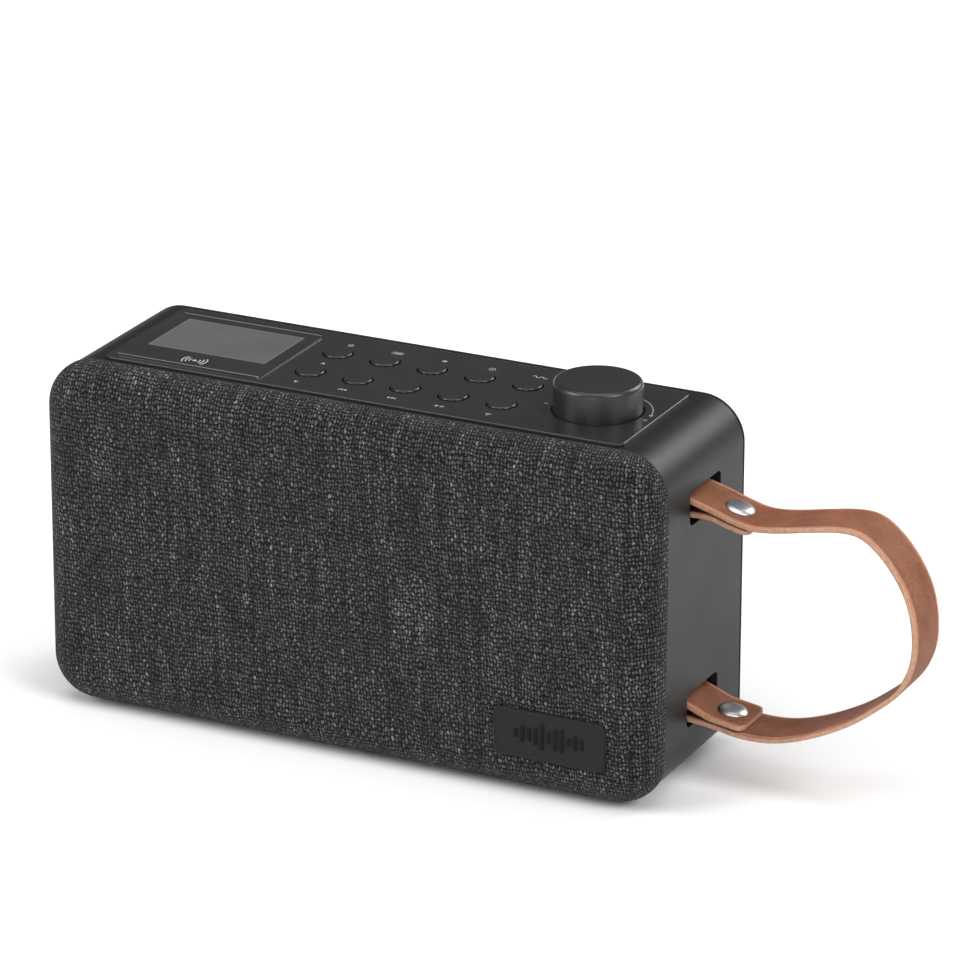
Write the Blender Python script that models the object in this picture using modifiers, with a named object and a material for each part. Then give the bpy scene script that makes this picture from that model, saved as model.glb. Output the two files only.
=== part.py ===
"""Portable digital radio: fabric front, moulded cabinet, top controls and a leather side strap.

Frame: metres, +Z up, front towards -Y, strap on +X.
The origin is the centre of the underside of the rubber base pad.
"""
import math

import bmesh
import bpy
from mathutils import Matrix, Vector

MM = 0.001
GAP = 0.3 * MM                      # clearance kept between touching pieces

# ---- Driving dimensions -------------------------------------------------------------------
LENGTH = 220.0 * MM                 # across the fabric front, without the strap
HEIGHT = 117.7 * MM                 # of the fabric front
DEPTH = 72.9 * MM                   # fabric face to rear cover
CORNER = 15.4 * MM                  # corner radius of the fabric front
FRONT_ROUND = 11.0 * MM             # rounding from the fabric face to its sides
FRONT_DEPTH = 12.3 * MM             # how far the fabric wraps back
BASE_Z = 1.0 * MM                   # underside of the fabric front above the ground

FABRIC_T = 0.8 * MM
BAFFLE_T = 2.4 * MM
WALL = 3.0 * MM
SIDE_INSET = 0.8 * MM               # the cabinet is this much narrower per side
TOP_INSET = 0.2 * MM                # and this much lower at top and bottom
COVER_T = 1.6 * MM                  # rim of the rear cover that shows behind the shell
COVER_LIP = 2.2 * MM                # the rest of the cover, which plugs into the shell

PANEL_CENTRE = (0.25 * MM, 3.75 * MM)
PANEL_SIZE = (184.9 * MM, 53.4 * MM)
PANEL_CORNER = 3.0 * MM
PANEL_PROUD = 1.2 * MM
PANEL_SINK = 2.2 * MM               # how far its locating tray reaches into the cabinet
PANEL_LEDGE = 4.0 * MM
PANEL_OPENING_R = 4.6 * MM          # clearance round the encoder's bush

WINDOW_CENTRE = (-63.1 * MM, 2.55 * MM)
WINDOW_SIZE = (52.2 * MM, 45.0 * MM)
WINDOW_PROUD = 0.5 * MM
WINDOW_T = 1.5 * MM
LCD_CENTRE = (-62.8 * MM, 6.15 * MM)
LCD_SIZE = (45.0 * MM, 30.0 * MM)

BUTTON_FIRST = (-25.1 * MM, -6.6 * MM)
BUTTON_PITCH = (17.1 * MM, 19.2 * MM)
BUTTON_COLUMNS = 5
BUTTON_ROWS = 2
BUTTON_R = 4.7 * MM
BUTTON_HOLE_R = 5.15 * MM
BUTTON_PROUD = 0.7 * MM
BUTTON_TRAVEL = 0.6 * MM
BUTTON_NAMES = (
    ("station", "previous", "next", "play", "pairing"),
    ("power", "menu", "preset", "info", "band"),
)

KNOB_CENTRE = (72.7 * MM, 2.6 * MM)
KNOB_R = 14.4 * MM
KNOB_H = 10.4 * MM                  # top of the knob above the panel
KNOB_EDGE = 1.8 * MM                 # rounding of its rim
KNOB_SUNK = 0.7 * MM                # its skirt runs this far into a well in the panel
WELL_R = 15.0 * MM
WELL_DEPTH = 1.2 * MM

BADGE_SIZE = (39.1 * MM, 16.4 * MM)
BADGE_CENTRE_X = 75.3 * MM
BADGE_CENTRE_Z = BASE_Z + 21.4 * MM
BADGE_T = 1.3 * MM

PAD_SIZE = (190.0 * MM, 46.0 * MM)
PAD_CENTRE = (0.0, 2.0 * MM)

SPEAKER_HOLE_R = 33.0 * MM
SPEAKER_X = -8.0 * MM
SPEAKER_Z = BASE_Z + 58.0 * MM

PORT_Z = BASE_Z + 24.0 * MM         # height of the row of sockets
USB_X = -20.0 * MM
JACKS = (("aux_jack", 2.0 * MM), ("headphone_jack", 20.0 * MM))
BOARD_SETBACK = 9.0 * MM            # main board to the rear face

STRAP_WIDTH = 19.0 * MM
STRAP_T = 1.8 * MM
STRAP_Y = 5.15 * MM                 # centre line of the strap
BAR_R = 2.0 * MM
BAR_X = 102.4 * MM
UPPER_BAR_Z = BASE_Z + 94.2 * MM
LOWER_BAR_Z = BASE_Z + 25.2 * MM
SLOT_SIZE = (23.4 * MM, 11.4 * MM)
RIVET_R = 5.0 * MM
RIVET_POST_R = 1.6 * MM
LAYER = STRAP_T + 0.35 * MM         # from one layer's middle to the next at a rivet

# Middle line of the strap's loop, in mm: x, and the height above the fabric front's underside.
LOOP_MM = (
    (114.0, 94.3), (120.9, 92.1), (128.3, 90.4), (137.0, 91.1), (148.0, 93.3),
    (158.0, 95.0), (165.5, 94.5), (172.0, 90.2), (178.0, 83.2), (182.6, 74.5),
    (184.7, 64.5), (184.3, 54.5), (180.4, 45.3), (174.0, 38.8), (163.0, 30.4),
    (150.0, 23.7), (138.0, 19.9), (127.0, 19.3), (119.4, 20.5), (112.0, 21.6),
)

ANTENNA_X = 82.0 * MM               # hinge pin of the telescopic antenna
ANTENNA_Z = BASE_Z + 101.0 * MM
ANTENNA_STANDOFF = 6.0 * MM         # its axis behind the rear cover
ANTENNA_R = 3.2 * MM
ANTENNA_LENGTH = 150.0 * MM
SWIVEL_R = 4.0 * MM
HINGE_PIN_R = 1.0 * MM

# ---- Derived places -----------------------------------------------------------------------
TOP_Z = BASE_Z + HEIGHT - TOP_INSET            # top of the cabinet
BOTTOM_Z = BASE_Z + TOP_INSET                  # underside of the cabinet
FRONT_Y = -DEPTH / 2
REAR_Y = DEPTH / 2
SHELL_FRONT_Y = FRONT_Y + FRONT_DEPTH + GAP
SHELL_REAR_Y = REAR_Y - COVER_T - GAP
HALF_BODY = LENGTH / 2 - SIDE_INSET
BODY_CORNER = CORNER - 0.6 * MM
MIDDLE_Z = (TOP_Z + BOTTOM_Z) / 2
PANEL_TOP_Z = TOP_Z + PANEL_PROUD
PANEL_UNDER_Z = TOP_Z - PANEL_SINK
SPEAKER_AT = (SPEAKER_X, FRONT_Y + FABRIC_T + GAP + BAFFLE_T, SPEAKER_Z)
BOARD_REAR_Y = REAR_Y - BOARD_SETBACK
ANTENNA_HINGE = (ANTENNA_X, REAR_Y + ANTENNA_STANDOFF, ANTENNA_Z)
LOOP = [Vector((x * MM, BASE_Z + z * MM)) for x, z in LOOP_MM]
UPPER_TAIL = [point - Vector((0.25, 0.97)) * LAYER for point in (LOOP[2], LOOP[1], LOOP[0])]
LOWER_TAIL = [point + Vector((0.12, 0.99)) * LAYER
              for point in (LOOP[-1].lerp(LOOP[-2], 0.35), LOOP[-2], LOOP[-3])]
BOSS_OFFSET = BODY_CORNER - 6.1 * MM
SCREW_PLACES = [
    (side * (HALF_BODY - BOSS_OFFSET), z)
    for z in (BOTTOM_Z + BOSS_OFFSET, TOP_Z - BOSS_OFFSET)
    for side in (-1, 1)
]


# ---- Scene and materials ------------------------------------------------------------------
def clear_scene():
    for obj in list(bpy.data.objects):
        bpy.data.objects.remove(obj, do_unlink=True)


def new_collection(name):
    collection = bpy.data.collections.new(name)
    bpy.context.scene.collection.children.link(collection)
    return collection


def principled(name, colour, roughness, metallic=0.0):
    material = bpy.data.materials.new(name)
    material.use_nodes = True
    shader = material.node_tree.nodes["Principled BSDF"]
    shader.inputs["Base Color"].default_value = (*colour, 1.0)
    shader.inputs["Roughness"].default_value = roughness
    shader.inputs["Metallic"].default_value = metallic
    return material


clear_scene()
PARTS = new_collection("fabric_front_radio")
CUTTERS = new_collection("cutters")

BLACK_MATT = principled("cabinet_plastic", (0.035, 0.035, 0.036), 0.55)
BLACK_SATIN = principled("panel_plastic", (0.018, 0.018, 0.019), 0.35)
RUBBER = principled("rubber", (0.02, 0.02, 0.02), 0.8)
FABRIC = principled("woven_fabric", (0.09, 0.09, 0.092), 0.95)
GLASS = principled("window_acrylic", (0.02, 0.02, 0.021), 0.08)
DISPLAY = principled("lcd_glass", (0.16, 0.17, 0.17), 0.25)
LEATHER = principled("leather", (0.34, 0.15, 0.075), 0.6)
NICKEL = principled("nickel", (0.72, 0.72, 0.74), 0.25, 1.0)
STEEL = principled("steel", (0.5, 0.5, 0.51), 0.4, 1.0)
CHROME = principled("antenna_chrome", (0.8, 0.8, 0.8), 0.15, 1.0)
FERRITE = principled("magnet", (0.05, 0.05, 0.05), 0.6)
PAPER = principled("cone_paper", (0.04, 0.04, 0.045), 0.9)
BOARD = principled("circuit_board", (0.03, 0.13, 0.06), 0.5)
BATTERY = principled("battery_wrap", (0.05, 0.12, 0.3), 0.5)


# ---- Modelling helpers --------------------------------------------------------------------
AXIS_TURN = {
    "Z": Matrix.Identity(4),
    "Y": Matrix.Rotation(math.radians(90), 4, "X"),
    "X": Matrix.Rotation(math.radians(90), 4, "Z") @ Matrix.Rotation(math.radians(90), 4, "X"),
}


def place(name, mesh, material, origin=(0.0, 0.0, 0.0)):
    obj = bpy.data.objects.new(name, mesh)
    obj.location = origin
    mesh.materials.clear()
    mesh.materials.append(material)
    PARTS.objects.link(obj)
    return obj


def shade(obj, angle=35.0):
    obj.data.shade_smooth()
    obj.data.set_sharp_from_angle(angle=math.radians(angle))
    return obj


def rounded_outline(width, height, radius, centre=(0.0, 0.0), steps=6):
    """Counter-clockwise rounded rectangle; each corner is an arc of the given steps."""
    points = []
    for corner in range(4):
        sign_u = 1 if corner in (0, 3) else -1
        sign_v = 1 if corner in (0, 1) else -1
        for step in range(steps + 1):
            angle = math.radians(90 * corner + 90 * step / steps)
            u = centre[0] + sign_u * (width / 2 - radius) + radius * math.cos(angle)
            v = centre[1] + sign_v * (height / 2 - radius) + radius * math.sin(angle)
            points.append((u, v))
    return points


def outline_mesh(name, outline, axis, low, high):
    """Extruded flat outline as a welded mesh in world coordinates, between low and high."""
    curve = bpy.data.curves.new(name, "CURVE")
    curve.dimensions = "2D"
    curve.fill_mode = "BOTH"
    curve.extrude = (high - low) / 2
    spline = curve.splines.new("POLY")
    spline.points.add(len(outline) - 1)
    for point, (u, v) in zip(spline.points, outline):
        point.co = (u, v, 0.0, 1.0)
    spline.use_cyclic_u = True
    flat = bpy.data.objects.new(name + "_outline", curve)
    middle = (low + high) / 2
    shift = {"X": (middle, 0, 0), "Y": (0, middle, 0), "Z": (0, 0, middle)}[axis]
    flat.matrix_world = Matrix.Translation(shift) @ AXIS_TURN[axis]
    bpy.context.scene.collection.objects.link(flat)
    depsgraph = bpy.context.evaluated_depsgraph_get()
    mesh = bpy.data.meshes.new_from_object(flat.evaluated_get(depsgraph))
    mesh.transform(flat.matrix_world)
    bpy.data.objects.remove(flat)
    body = bmesh.new()
    body.from_mesh(mesh)
    bmesh.ops.remove_doubles(body, verts=body.verts, dist=1e-6)
    bmesh.ops.dissolve_limit(body, angle_limit=0.01, verts=body.verts, edges=body.edges)
    bmesh.ops.recalc_face_normals(body, faces=body.faces)
    body.to_mesh(mesh)
    body.free()
    return mesh


def slab(name, outline, axis, low, high, material):
    return place(name, outline_mesh(name, outline, axis, low, high), material)


def block(name, low, high, material):
    """Box between two opposite corners, its origin at its middle."""
    size = [b - a for a, b in zip(low, high)]
    centre = [(a + b) / 2 for a, b in zip(low, high)]
    mesh = bpy.data.meshes.new(name)
    body = bmesh.new()
    bmesh.ops.create_cube(body, size=1.0)
    bmesh.ops.scale(body, vec=size, verts=body.verts)
    body.to_mesh(mesh)
    body.free()
    return place(name, mesh, material, centre)


def turned(name, profile, origin, axis, material, steps=32, closed=False):
    """Profile of (radius, height) points, outer side top to bottom, turned about an axis."""
    mesh = bpy.data.meshes.new(name)
    edges = [(i, i + 1) for i in range(len(profile) - 1)]
    if closed:
        edges.append((len(profile) - 1, 0))
    mesh.from_pydata([(r, 0.0, h) for r, h in profile], edges, [])
    obj = place(name, mesh, material, origin)
    turns = {"Z": (0, 0, 0), "Y": (math.radians(-90), 0, 0), "X": (0, math.radians(90), 0)}
    obj.rotation_euler = turns[axis]
    screw = obj.modifiers.new("Turn", "SCREW")
    screw.steps = steps
    screw.render_steps = steps
    screw.use_merge_vertices = True
    screw.merge_threshold = 0.000005
    screw.use_smooth_shade = True
    return obj


def in_metres(profile):
    return [(radius * MM, height * MM) for radius, height in profile]


def pin(name, radius, low, high, origin, axis, material, steps=24):
    profile = [(0.0, high), (radius, high), (radius, low), (0.0, low)]
    return turned(name, profile, origin, axis, material, steps)


def bevel(obj, width, segments=2, angle=40.0):
    modifier = obj.modifiers.new("Edges", "BEVEL")
    modifier.width = width
    modifier.segments = segments
    modifier.limit_method = "ANGLE"
    modifier.angle_limit = math.radians(angle)
    return obj


def boolean(obj, tool, operation="DIFFERENCE"):
    PARTS.objects.unlink(tool)
    CUTTERS.objects.link(tool)
    tool.hide_render = True
    tool.display_type = "WIRE"
    modifier = obj.modifiers.new(tool.name, "BOOLEAN")
    modifier.operation = operation
    modifier.solver = "EXACT"
    modifier.object = tool
    return obj


def cut_box(obj, name, low, high):
    return boolean(obj, block(name, low, high, BLACK_MATT))


def cut_hole(obj, name, radius, low, high, origin, axis, steps=24):
    return boolean(obj, pin(name, radius, low, high, origin, axis, BLACK_MATT, steps))


# ---- Cabinet ------------------------------------------------------------------------------
def body_outline(inset=0.0):
    width = 2 * (HALF_BODY - inset)
    height = TOP_Z - BOTTOM_Z - 2 * inset
    return rounded_outline(width, height, BODY_CORNER - inset, (0.0, MIDDLE_Z), steps=6)


def make_shell():
    shell = slab("cabinet_shell", body_outline(), "Y", SHELL_FRONT_Y, SHELL_REAR_Y, BLACK_MATT)
    hollow = slab("hollow", body_outline(WALL), "Y", SHELL_FRONT_Y - 1 * MM, SHELL_REAR_Y + 1 * MM,
                  BLACK_MATT)
    boolean(shell, hollow)
    for number, (x, z) in enumerate(SCREW_PLACES, start=1):
        origin = (x, SHELL_REAR_Y, z)
        boss = pin("boss_%d" % number, 4.2 * MM, -20 * MM, -COVER_LIP - GAP, origin, "Y",
                   BLACK_MATT)
        boolean(shell, boss, "UNION")
        cut_hole(shell, "pilot_%d" % number, 1.6 * MM, -14 * MM, 1 * MM, origin, "Y", 16)
    rib_t = 4.0 * MM
    for level, z in (("upper", UPPER_BAR_Z), ("lower", LOWER_BAR_Z)):
        for number, side in enumerate((-1, 1), start=1):
            near = STRAP_Y + side * (SLOT_SIZE[0] / 2 + 0.6 * MM)
            far = near + side * rib_t
            rib = block("rib_%s_%d" % (level, number),
                        (BAR_X - 4.2 * MM, min(near, far), z - 5 * MM),
                        (HALF_BODY - WALL + 0.7 * MM, max(near, far), z + 5 * MM), BLACK_MATT)
            boolean(shell, rib, "UNION")
        reach = SLOT_SIZE[0] / 2 + 8 * MM
        cut_hole(shell, "bar_bore_" + level, BAR_R + GAP, -reach, reach, (BAR_X, STRAP_Y, z), "Y",
                 16)
        mouth = rounded_outline(*SLOT_SIZE, 2.0 * MM, (STRAP_Y, z), steps=4)
        boolean(shell, slab("slot_" + level, mouth, "X", HALF_BODY - WALL - 1 * MM,
                            HALF_BODY + 1 * MM, BLACK_MATT))
    opening = slab("panel_opening", panel_outline(PANEL_LEDGE - GAP), "Z", TOP_Z - WALL - 1 * MM,
                   TOP_Z + 1 * MM, BLACK_MATT)
    boolean(shell, opening)
    return shade(shell)


def make_rear_cover():
    """Thin rim flush with the shell, with a lip inside it that meets the screw bosses."""
    cover = slab("rear_cover", body_outline(), "Y", REAR_Y - COVER_T, REAR_Y, BLACK_MATT)
    bevel(cover, 0.7 * MM, 2)
    lip = slab("cover_lip", body_outline(WALL + GAP), "Y", SHELL_REAR_Y - COVER_LIP,
               REAR_Y - COVER_T / 2, BLACK_MATT)
    boolean(cover, lip, "UNION")
    for number, (x, z) in enumerate(SCREW_PLACES, start=1):
        origin = (x, REAR_Y, z)
        cut_hole(cover, "screw_hole_%d" % number, 1.7 * MM, -5 * MM, 1 * MM, origin, "Y", 16)
        cut_hole(cover, "screw_seat_%d" % number, 3.2 * MM, -1.8 * MM, 1 * MM, origin, "Y", 20)
        profile = [(0.0, -0.1), (2.2, -0.1), (2.8, -0.6), (2.8, -1.5), (1.3, -1.5), (1.3, -13.0),
                   (0.0, -13.0)]
        shade(turned("cover_screw_%d" % number, in_metres(profile), origin, "Y", STEEL, 20))
    usb = slab("usb_hole", rounded_outline(10.2 * MM, 4.6 * MM, 2.2 * MM, (USB_X, PORT_Z), 4),
               "Y", REAR_Y - 5 * MM, REAR_Y + 1 * MM, BLACK_MATT)
    boolean(cover, usb)
    for name, x in JACKS:
        cut_hole(cover, name + "_hole", 3.8 * MM, -5 * MM, 1 * MM, (x, REAR_Y, PORT_Z), "Y")
    return shade(cover)


def front_surface(name, inset, back_y, thickness, material, steps):
    """Rounded front, open at the back, thickened inwards; inset from the fabric's outside."""
    width = LENGTH - 2 * inset
    height = HEIGHT - 2 * inset
    centre = (0.0, BASE_Z + HEIGHT / 2)
    outline = rounded_outline(width, height, CORNER - inset, centre, steps=steps)
    face_y = FRONT_Y + inset
    mesh = outline_mesh(name, outline, "Y", face_y, back_y)
    body = bmesh.new()
    body.from_mesh(mesh)
    back = [face for face in body.faces if all(abs(v.co.y - back_y) < 1e-6 for v in face.verts)]
    bmesh.ops.delete(body, geom=back, context="FACES_ONLY")
    rim = [edge for edge in body.edges if all(abs(v.co.y - face_y) < 1e-6 for v in edge.verts)]
    bmesh.ops.bevel(body, geom=rim, offset=FRONT_ROUND - inset, offset_type="OFFSET",
                    segments=steps - 1, profile=0.5, affect="EDGES", clamp_overlap=False)
    body.to_mesh(mesh)
    body.free()
    skin = place(name, mesh, material)
    solidify = skin.modifiers.new("Thickness", "SOLIDIFY")
    solidify.thickness = thickness
    solidify.offset = -1.0
    solidify.use_even_offset = True
    return skin


def make_front():
    back_y = FRONT_Y + FRONT_DEPTH
    shade(front_surface("grille_fabric", 0.0, back_y, FABRIC_T, FABRIC, 6), 60)
    inset = FABRIC_T + GAP
    baffle = front_surface("front_baffle", inset, back_y, BAFFLE_T, BLACK_MATT, 4)
    cut_hole(baffle, "speaker_hole", SPEAKER_HOLE_R, -6 * MM, 6 * MM, SPEAKER_AT, "Y", 32)
    shade(baffle, 60)
    plate = rounded_outline(*BADGE_SIZE, 2.4 * MM, (BADGE_CENTRE_X, BADGE_CENTRE_Z), 5)
    badge_back = FRONT_Y - GAP / 2
    badge = slab("badge", plate, "Y", badge_back - BADGE_T, badge_back, RUBBER)
    shade(bevel(badge, 0.35 * MM, 2))


def make_base_pad():
    outline = rounded_outline(*PAD_SIZE, 6 * MM, PAD_CENTRE, 5)
    shade(slab("base_pad", outline, "Z", 0.0, BOTTOM_Z - GAP, RUBBER))


# ---- Speaker ------------------------------------------------------------------------------
def make_speaker():
    """Heights run backwards from the rear face of the baffle; the cone faces the fabric."""
    basket = [(34.5, 0.3), (34.5, 2.3), (31.0, 2.3), (21.5, 17.0), (12.5, 17.0), (12.5, 19.0),
              (24.0, 19.0), (24.0, 17.0), (33.0, 3.3), (38.5, 2.3), (38.5, 0.3)]
    magnet = [(8.0, 19.3), (9.0, 30.0), (9.0, 33.0), (24.0, 33.0), (24.0, 19.3)]
    surround = [(30.6, -0.9), (27.8, 0.5), (27.8, 1.5), (30.6, 0.9), (34.0, 1.5), (34.0, 0.5)]
    for name, profile, material in (
            ("speaker_basket", basket, STEEL), ("speaker_magnet", magnet, FERRITE),
            ("speaker_surround", surround, RUBBER)):
        ring = turned(name, in_metres(profile), SPEAKER_AT, "Y", material, 24, closed=True)
        shade(ring)
    cone = [(0.0, 7.0), (8.4, 10.0), (8.4, 18.0), (9.8, 18.0), (9.8, 11.5), (27.2, 1.6),
            (27.2, 0.4), (9.4, 9.0), (0.0, 6.0)]
    shade(turned("speaker_cone", in_metres(cone), SPEAKER_AT, "Y", PAPER, 24))


# ---- Top panel ----------------------------------------------------------------------------
def panel_outline(inset=0.0):
    radius = max(PANEL_CORNER - inset, 1.0 * MM)
    return rounded_outline(PANEL_SIZE[0] - 2 * inset, PANEL_SIZE[1] - 2 * inset, radius,
                           PANEL_CENTRE, steps=5)


def button_places():
    for row in range(BUTTON_ROWS):
        for column in range(BUTTON_COLUMNS):
            x = BUTTON_FIRST[0] + column * BUTTON_PITCH[0]
            y = BUTTON_FIRST[1] + row * BUTTON_PITCH[1]
            yield BUTTON_NAMES[row][column], x, y


def make_top_panel():
    panel = slab("top_panel", panel_outline(), "Z", TOP_Z + GAP, PANEL_TOP_Z, BLACK_SATIN)
    bevel(panel, 0.3 * MM, 2)
    tray = slab("panel_tray", panel_outline(PANEL_LEDGE), "Z", PANEL_UNDER_Z, TOP_Z + 0.6 * MM,
                BLACK_SATIN)
    boolean(panel, tray, "UNION")
    pocket_low = PANEL_TOP_Z + WINDOW_PROUD - WINDOW_T - GAP
    pocket = slab("window_pocket", window_outline(-GAP), "Z", pocket_low, PANEL_TOP_Z + 2 * MM,
                  BLACK_SATIN)
    boolean(panel, pocket)
    through = slab("lcd_opening", lcd_outline(-GAP), "Z", PANEL_UNDER_Z - 1 * MM,
                   PANEL_TOP_Z + 1 * MM, BLACK_SATIN)
    boolean(panel, through)
    for name, x, y in button_places():
        cut_hole(panel, "hole_" + name, BUTTON_HOLE_R, PANEL_UNDER_Z - 1 * MM, PANEL_TOP_Z + 1 * MM,
                 (x, y, 0.0), "Z", 20)
    knob_axis = (*KNOB_CENTRE, 0.0)
    cut_hole(panel, "knob_well", WELL_R, PANEL_TOP_Z - WELL_DEPTH, PANEL_TOP_Z + 1 * MM,
             knob_axis, "Z", 36)
    cut_hole(panel, "hole_encoder", PANEL_OPENING_R, PANEL_UNDER_Z - 1 * MM,
             PANEL_TOP_Z + 1 * MM, knob_axis, "Z")
    shade(panel)


def window_outline(inset=0.0):
    return rounded_outline(WINDOW_SIZE[0] - 2 * inset, WINDOW_SIZE[1] - 2 * inset, 1.2 * MM,
                           WINDOW_CENTRE, steps=3)


def lcd_outline(inset=0.0):
    return rounded_outline(LCD_SIZE[0] - 2 * inset, LCD_SIZE[1] - 2 * inset, 1.2 * MM,
                           LCD_CENTRE, steps=3)


def make_display():
    high = PANEL_TOP_Z + WINDOW_PROUD
    window = slab("display_window", window_outline(), "Z", high - WINDOW_T, high, GLASS)
    shade(bevel(window, 0.3 * MM, 2))
    slab("lcd_module", lcd_outline(), "Z", PANEL_UNDER_Z - 2 * MM, high - WINDOW_T - GAP, DISPLAY)


def make_buttons():
    """Each cap slides down its hole; a flange below the panel holds it in."""
    under = PANEL_UNDER_Z - PANEL_TOP_Z - GAP
    top = BUTTON_PROUD
    profile = [
        (0.0, top), (BUTTON_R - 0.35 * MM, top), (BUTTON_R, top - 0.35 * MM), (BUTTON_R, under),
        (BUTTON_R + 1.4 * MM, under), (BUTTON_R + 1.4 * MM, under - 1.2 * MM),
        (1.6 * MM, under - 1.2 * MM), (1.6 * MM, under - 3.4 * MM), (0.0, under - 3.4 * MM)]
    for name, x, y in button_places():
        shade(turned("button_" + name, profile, (x, y, PANEL_TOP_Z), "Z", BLACK_SATIN, 16))


def make_key_board():
    stem_end = PANEL_UNDER_Z - GAP - 3.4 * MM
    switch_top = stem_end - BUTTON_TRAVEL - GAP
    board_top = switch_top - 1.5 * MM
    x_low = BUTTON_FIRST[0] - 9 * MM
    x_high = BUTTON_FIRST[0] + 4 * BUTTON_PITCH[0] + 9 * MM
    y_low = BUTTON_FIRST[1] - 9 * MM
    y_high = BUTTON_FIRST[1] + BUTTON_PITCH[1] + 9 * MM
    board = block("key_board", (x_low, y_low, board_top - 1.6 * MM), (x_high, y_high, board_top),
                  BOARD)
    for name, x, y in button_places():
        switch = pin("switch_" + name, 2.4 * MM, board_top - 0.5 * MM, switch_top, (x, y, 0.0),
                     "Z", BOARD, 8)
        boolean(board, switch, "UNION")


def make_knob():
    """Rotary encoder below the panel, its shaft, and the hollow knob pressed on the shaft."""
    origin = (*KNOB_CENTRE, PANEL_TOP_Z)
    bush_top = 1.5 * MM
    body_top = PANEL_UNDER_Z - PANEL_TOP_Z - GAP
    encoder = [(0.0, body_top - 6 * MM), (3.3 * MM, body_top - 6 * MM), (3.3 * MM, bush_top),
               (4.2 * MM, bush_top), (4.2 * MM, body_top), (6.8 * MM, body_top),
               (6.8 * MM, body_top - 7 * MM), (0.0, body_top - 7 * MM)]
    shade(turned("encoder_body", encoder, origin, "Z", STEEL, 24))
    shade(pin("encoder_shaft", 3.0 * MM, body_top - 5.7 * MM, KNOB_H - 2.5 * MM, origin, "Z",
              STEEL, 20))
    skirt = -KNOB_SUNK
    roof = KNOB_H - 1.8 * MM
    corner = 0.29 * KNOB_EDGE
    knob = [(0.0, KNOB_H), (KNOB_R - KNOB_EDGE, KNOB_H), (KNOB_R - corner, KNOB_H - corner),
            (KNOB_R, KNOB_H - KNOB_EDGE), (KNOB_R, skirt), (KNOB_R - 1.5 * MM, skirt),
            (KNOB_R - 1.5 * MM, roof - 1 * MM), (5.4 * MM, roof - 1 * MM),
            (5.4 * MM, bush_top + GAP), (3.3 * MM, bush_top + GAP), (3.3 * MM, roof + 0.2 * MM),
            (0.0, roof + 0.2 * MM)]
    shade(turned("volume_knob", knob, origin, "Z", BLACK_SATIN, 36))


# ---- Electronics --------------------------------------------------------------------------
def make_electronics():
    block("main_board", (-40 * MM, BOARD_REAR_Y - 1.6 * MM, BASE_Z + 14 * MM),
          (46 * MM, BOARD_REAR_Y, BASE_Z + 74 * MM), BOARD)
    pack = block("battery_pack", (-98 * MM, -12 * MM, BASE_Z + 14 * MM),
                 (-54 * MM, 24 * MM, BASE_Z + 84 * MM), BATTERY)
    shade(bevel(pack, 3 * MM, 2))
    usb_outline = rounded_outline(9.4 * MM, 3.8 * MM, 1.8 * MM, (USB_X, PORT_Z), 4)
    usb = slab("usb_port", usb_outline, "Y", BOARD_REAR_Y + GAP, REAR_Y - 0.4 * MM, STEEL)
    mouth = slab("usb_mouth", rounded_outline(8.6 * MM, 3.0 * MM, 1.4 * MM, (USB_X, PORT_Z), 4),
                 "Y", REAR_Y - 6 * MM, REAR_Y + 1 * MM, STEEL)
    shade(boolean(usb, mouth))
    depth = REAR_Y - BOARD_REAR_Y - GAP
    for name, x in JACKS:
        profile = [(0.0, -depth + 1 * MM), (1.8 * MM, -depth + 1 * MM), (1.8 * MM, -GAP),
                   (3.4 * MM, -GAP), (3.4 * MM, -depth), (0.0, -depth)]
        shade(turned(name, profile, (x, REAR_Y, PORT_Z), "Y", BLACK_SATIN, 20))


# ---- Carrying strap -----------------------------------------------------------------------
def smooth_path(points, per_span=5):
    """Catmull-Rom curve through the points."""
    ends = [2 * points[0] - points[1]] + points + [2 * points[-1] - points[-2]]
    path = []
    for a, b, c, d in zip(ends, ends[1:], ends[2:], ends[3:]):
        for step in range(per_span):
            t = step / per_span
            path.append(0.5 * (2 * b + (c - a) * t + (2 * a - 5 * b + 4 * c - d) * t ** 2
                               + (3 * b - 3 * c + d - a) * t ** 3))
    return path + [points[-1]]


def wrap(bar_z, start, end, steps=8):
    """Clockwise round a bar, from the start angle to the end angle in degrees."""
    radius = BAR_R + GAP + STRAP_T / 2
    for step in range(steps + 1):
        angle = math.radians(start + (end - start) * step / steps)
        yield Vector((BAR_X + radius * math.cos(angle), bar_z + radius * math.sin(angle)))


def strap_path():
    upper = smooth_path(UPPER_TAIL, 3)
    middle = smooth_path(LOOP, 3)
    lower = smooth_path(LOWER_TAIL, 3)
    return (upper + list(wrap(UPPER_BAR_Z, -84, -285)) + middle
            + list(wrap(LOWER_BAR_Z, -92, -290)) + lower)


def strap_slope(index, points):
    step = (points[index + 1] - points[index - 1]).normalized()
    return math.atan2(step.y, step.x)


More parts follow.
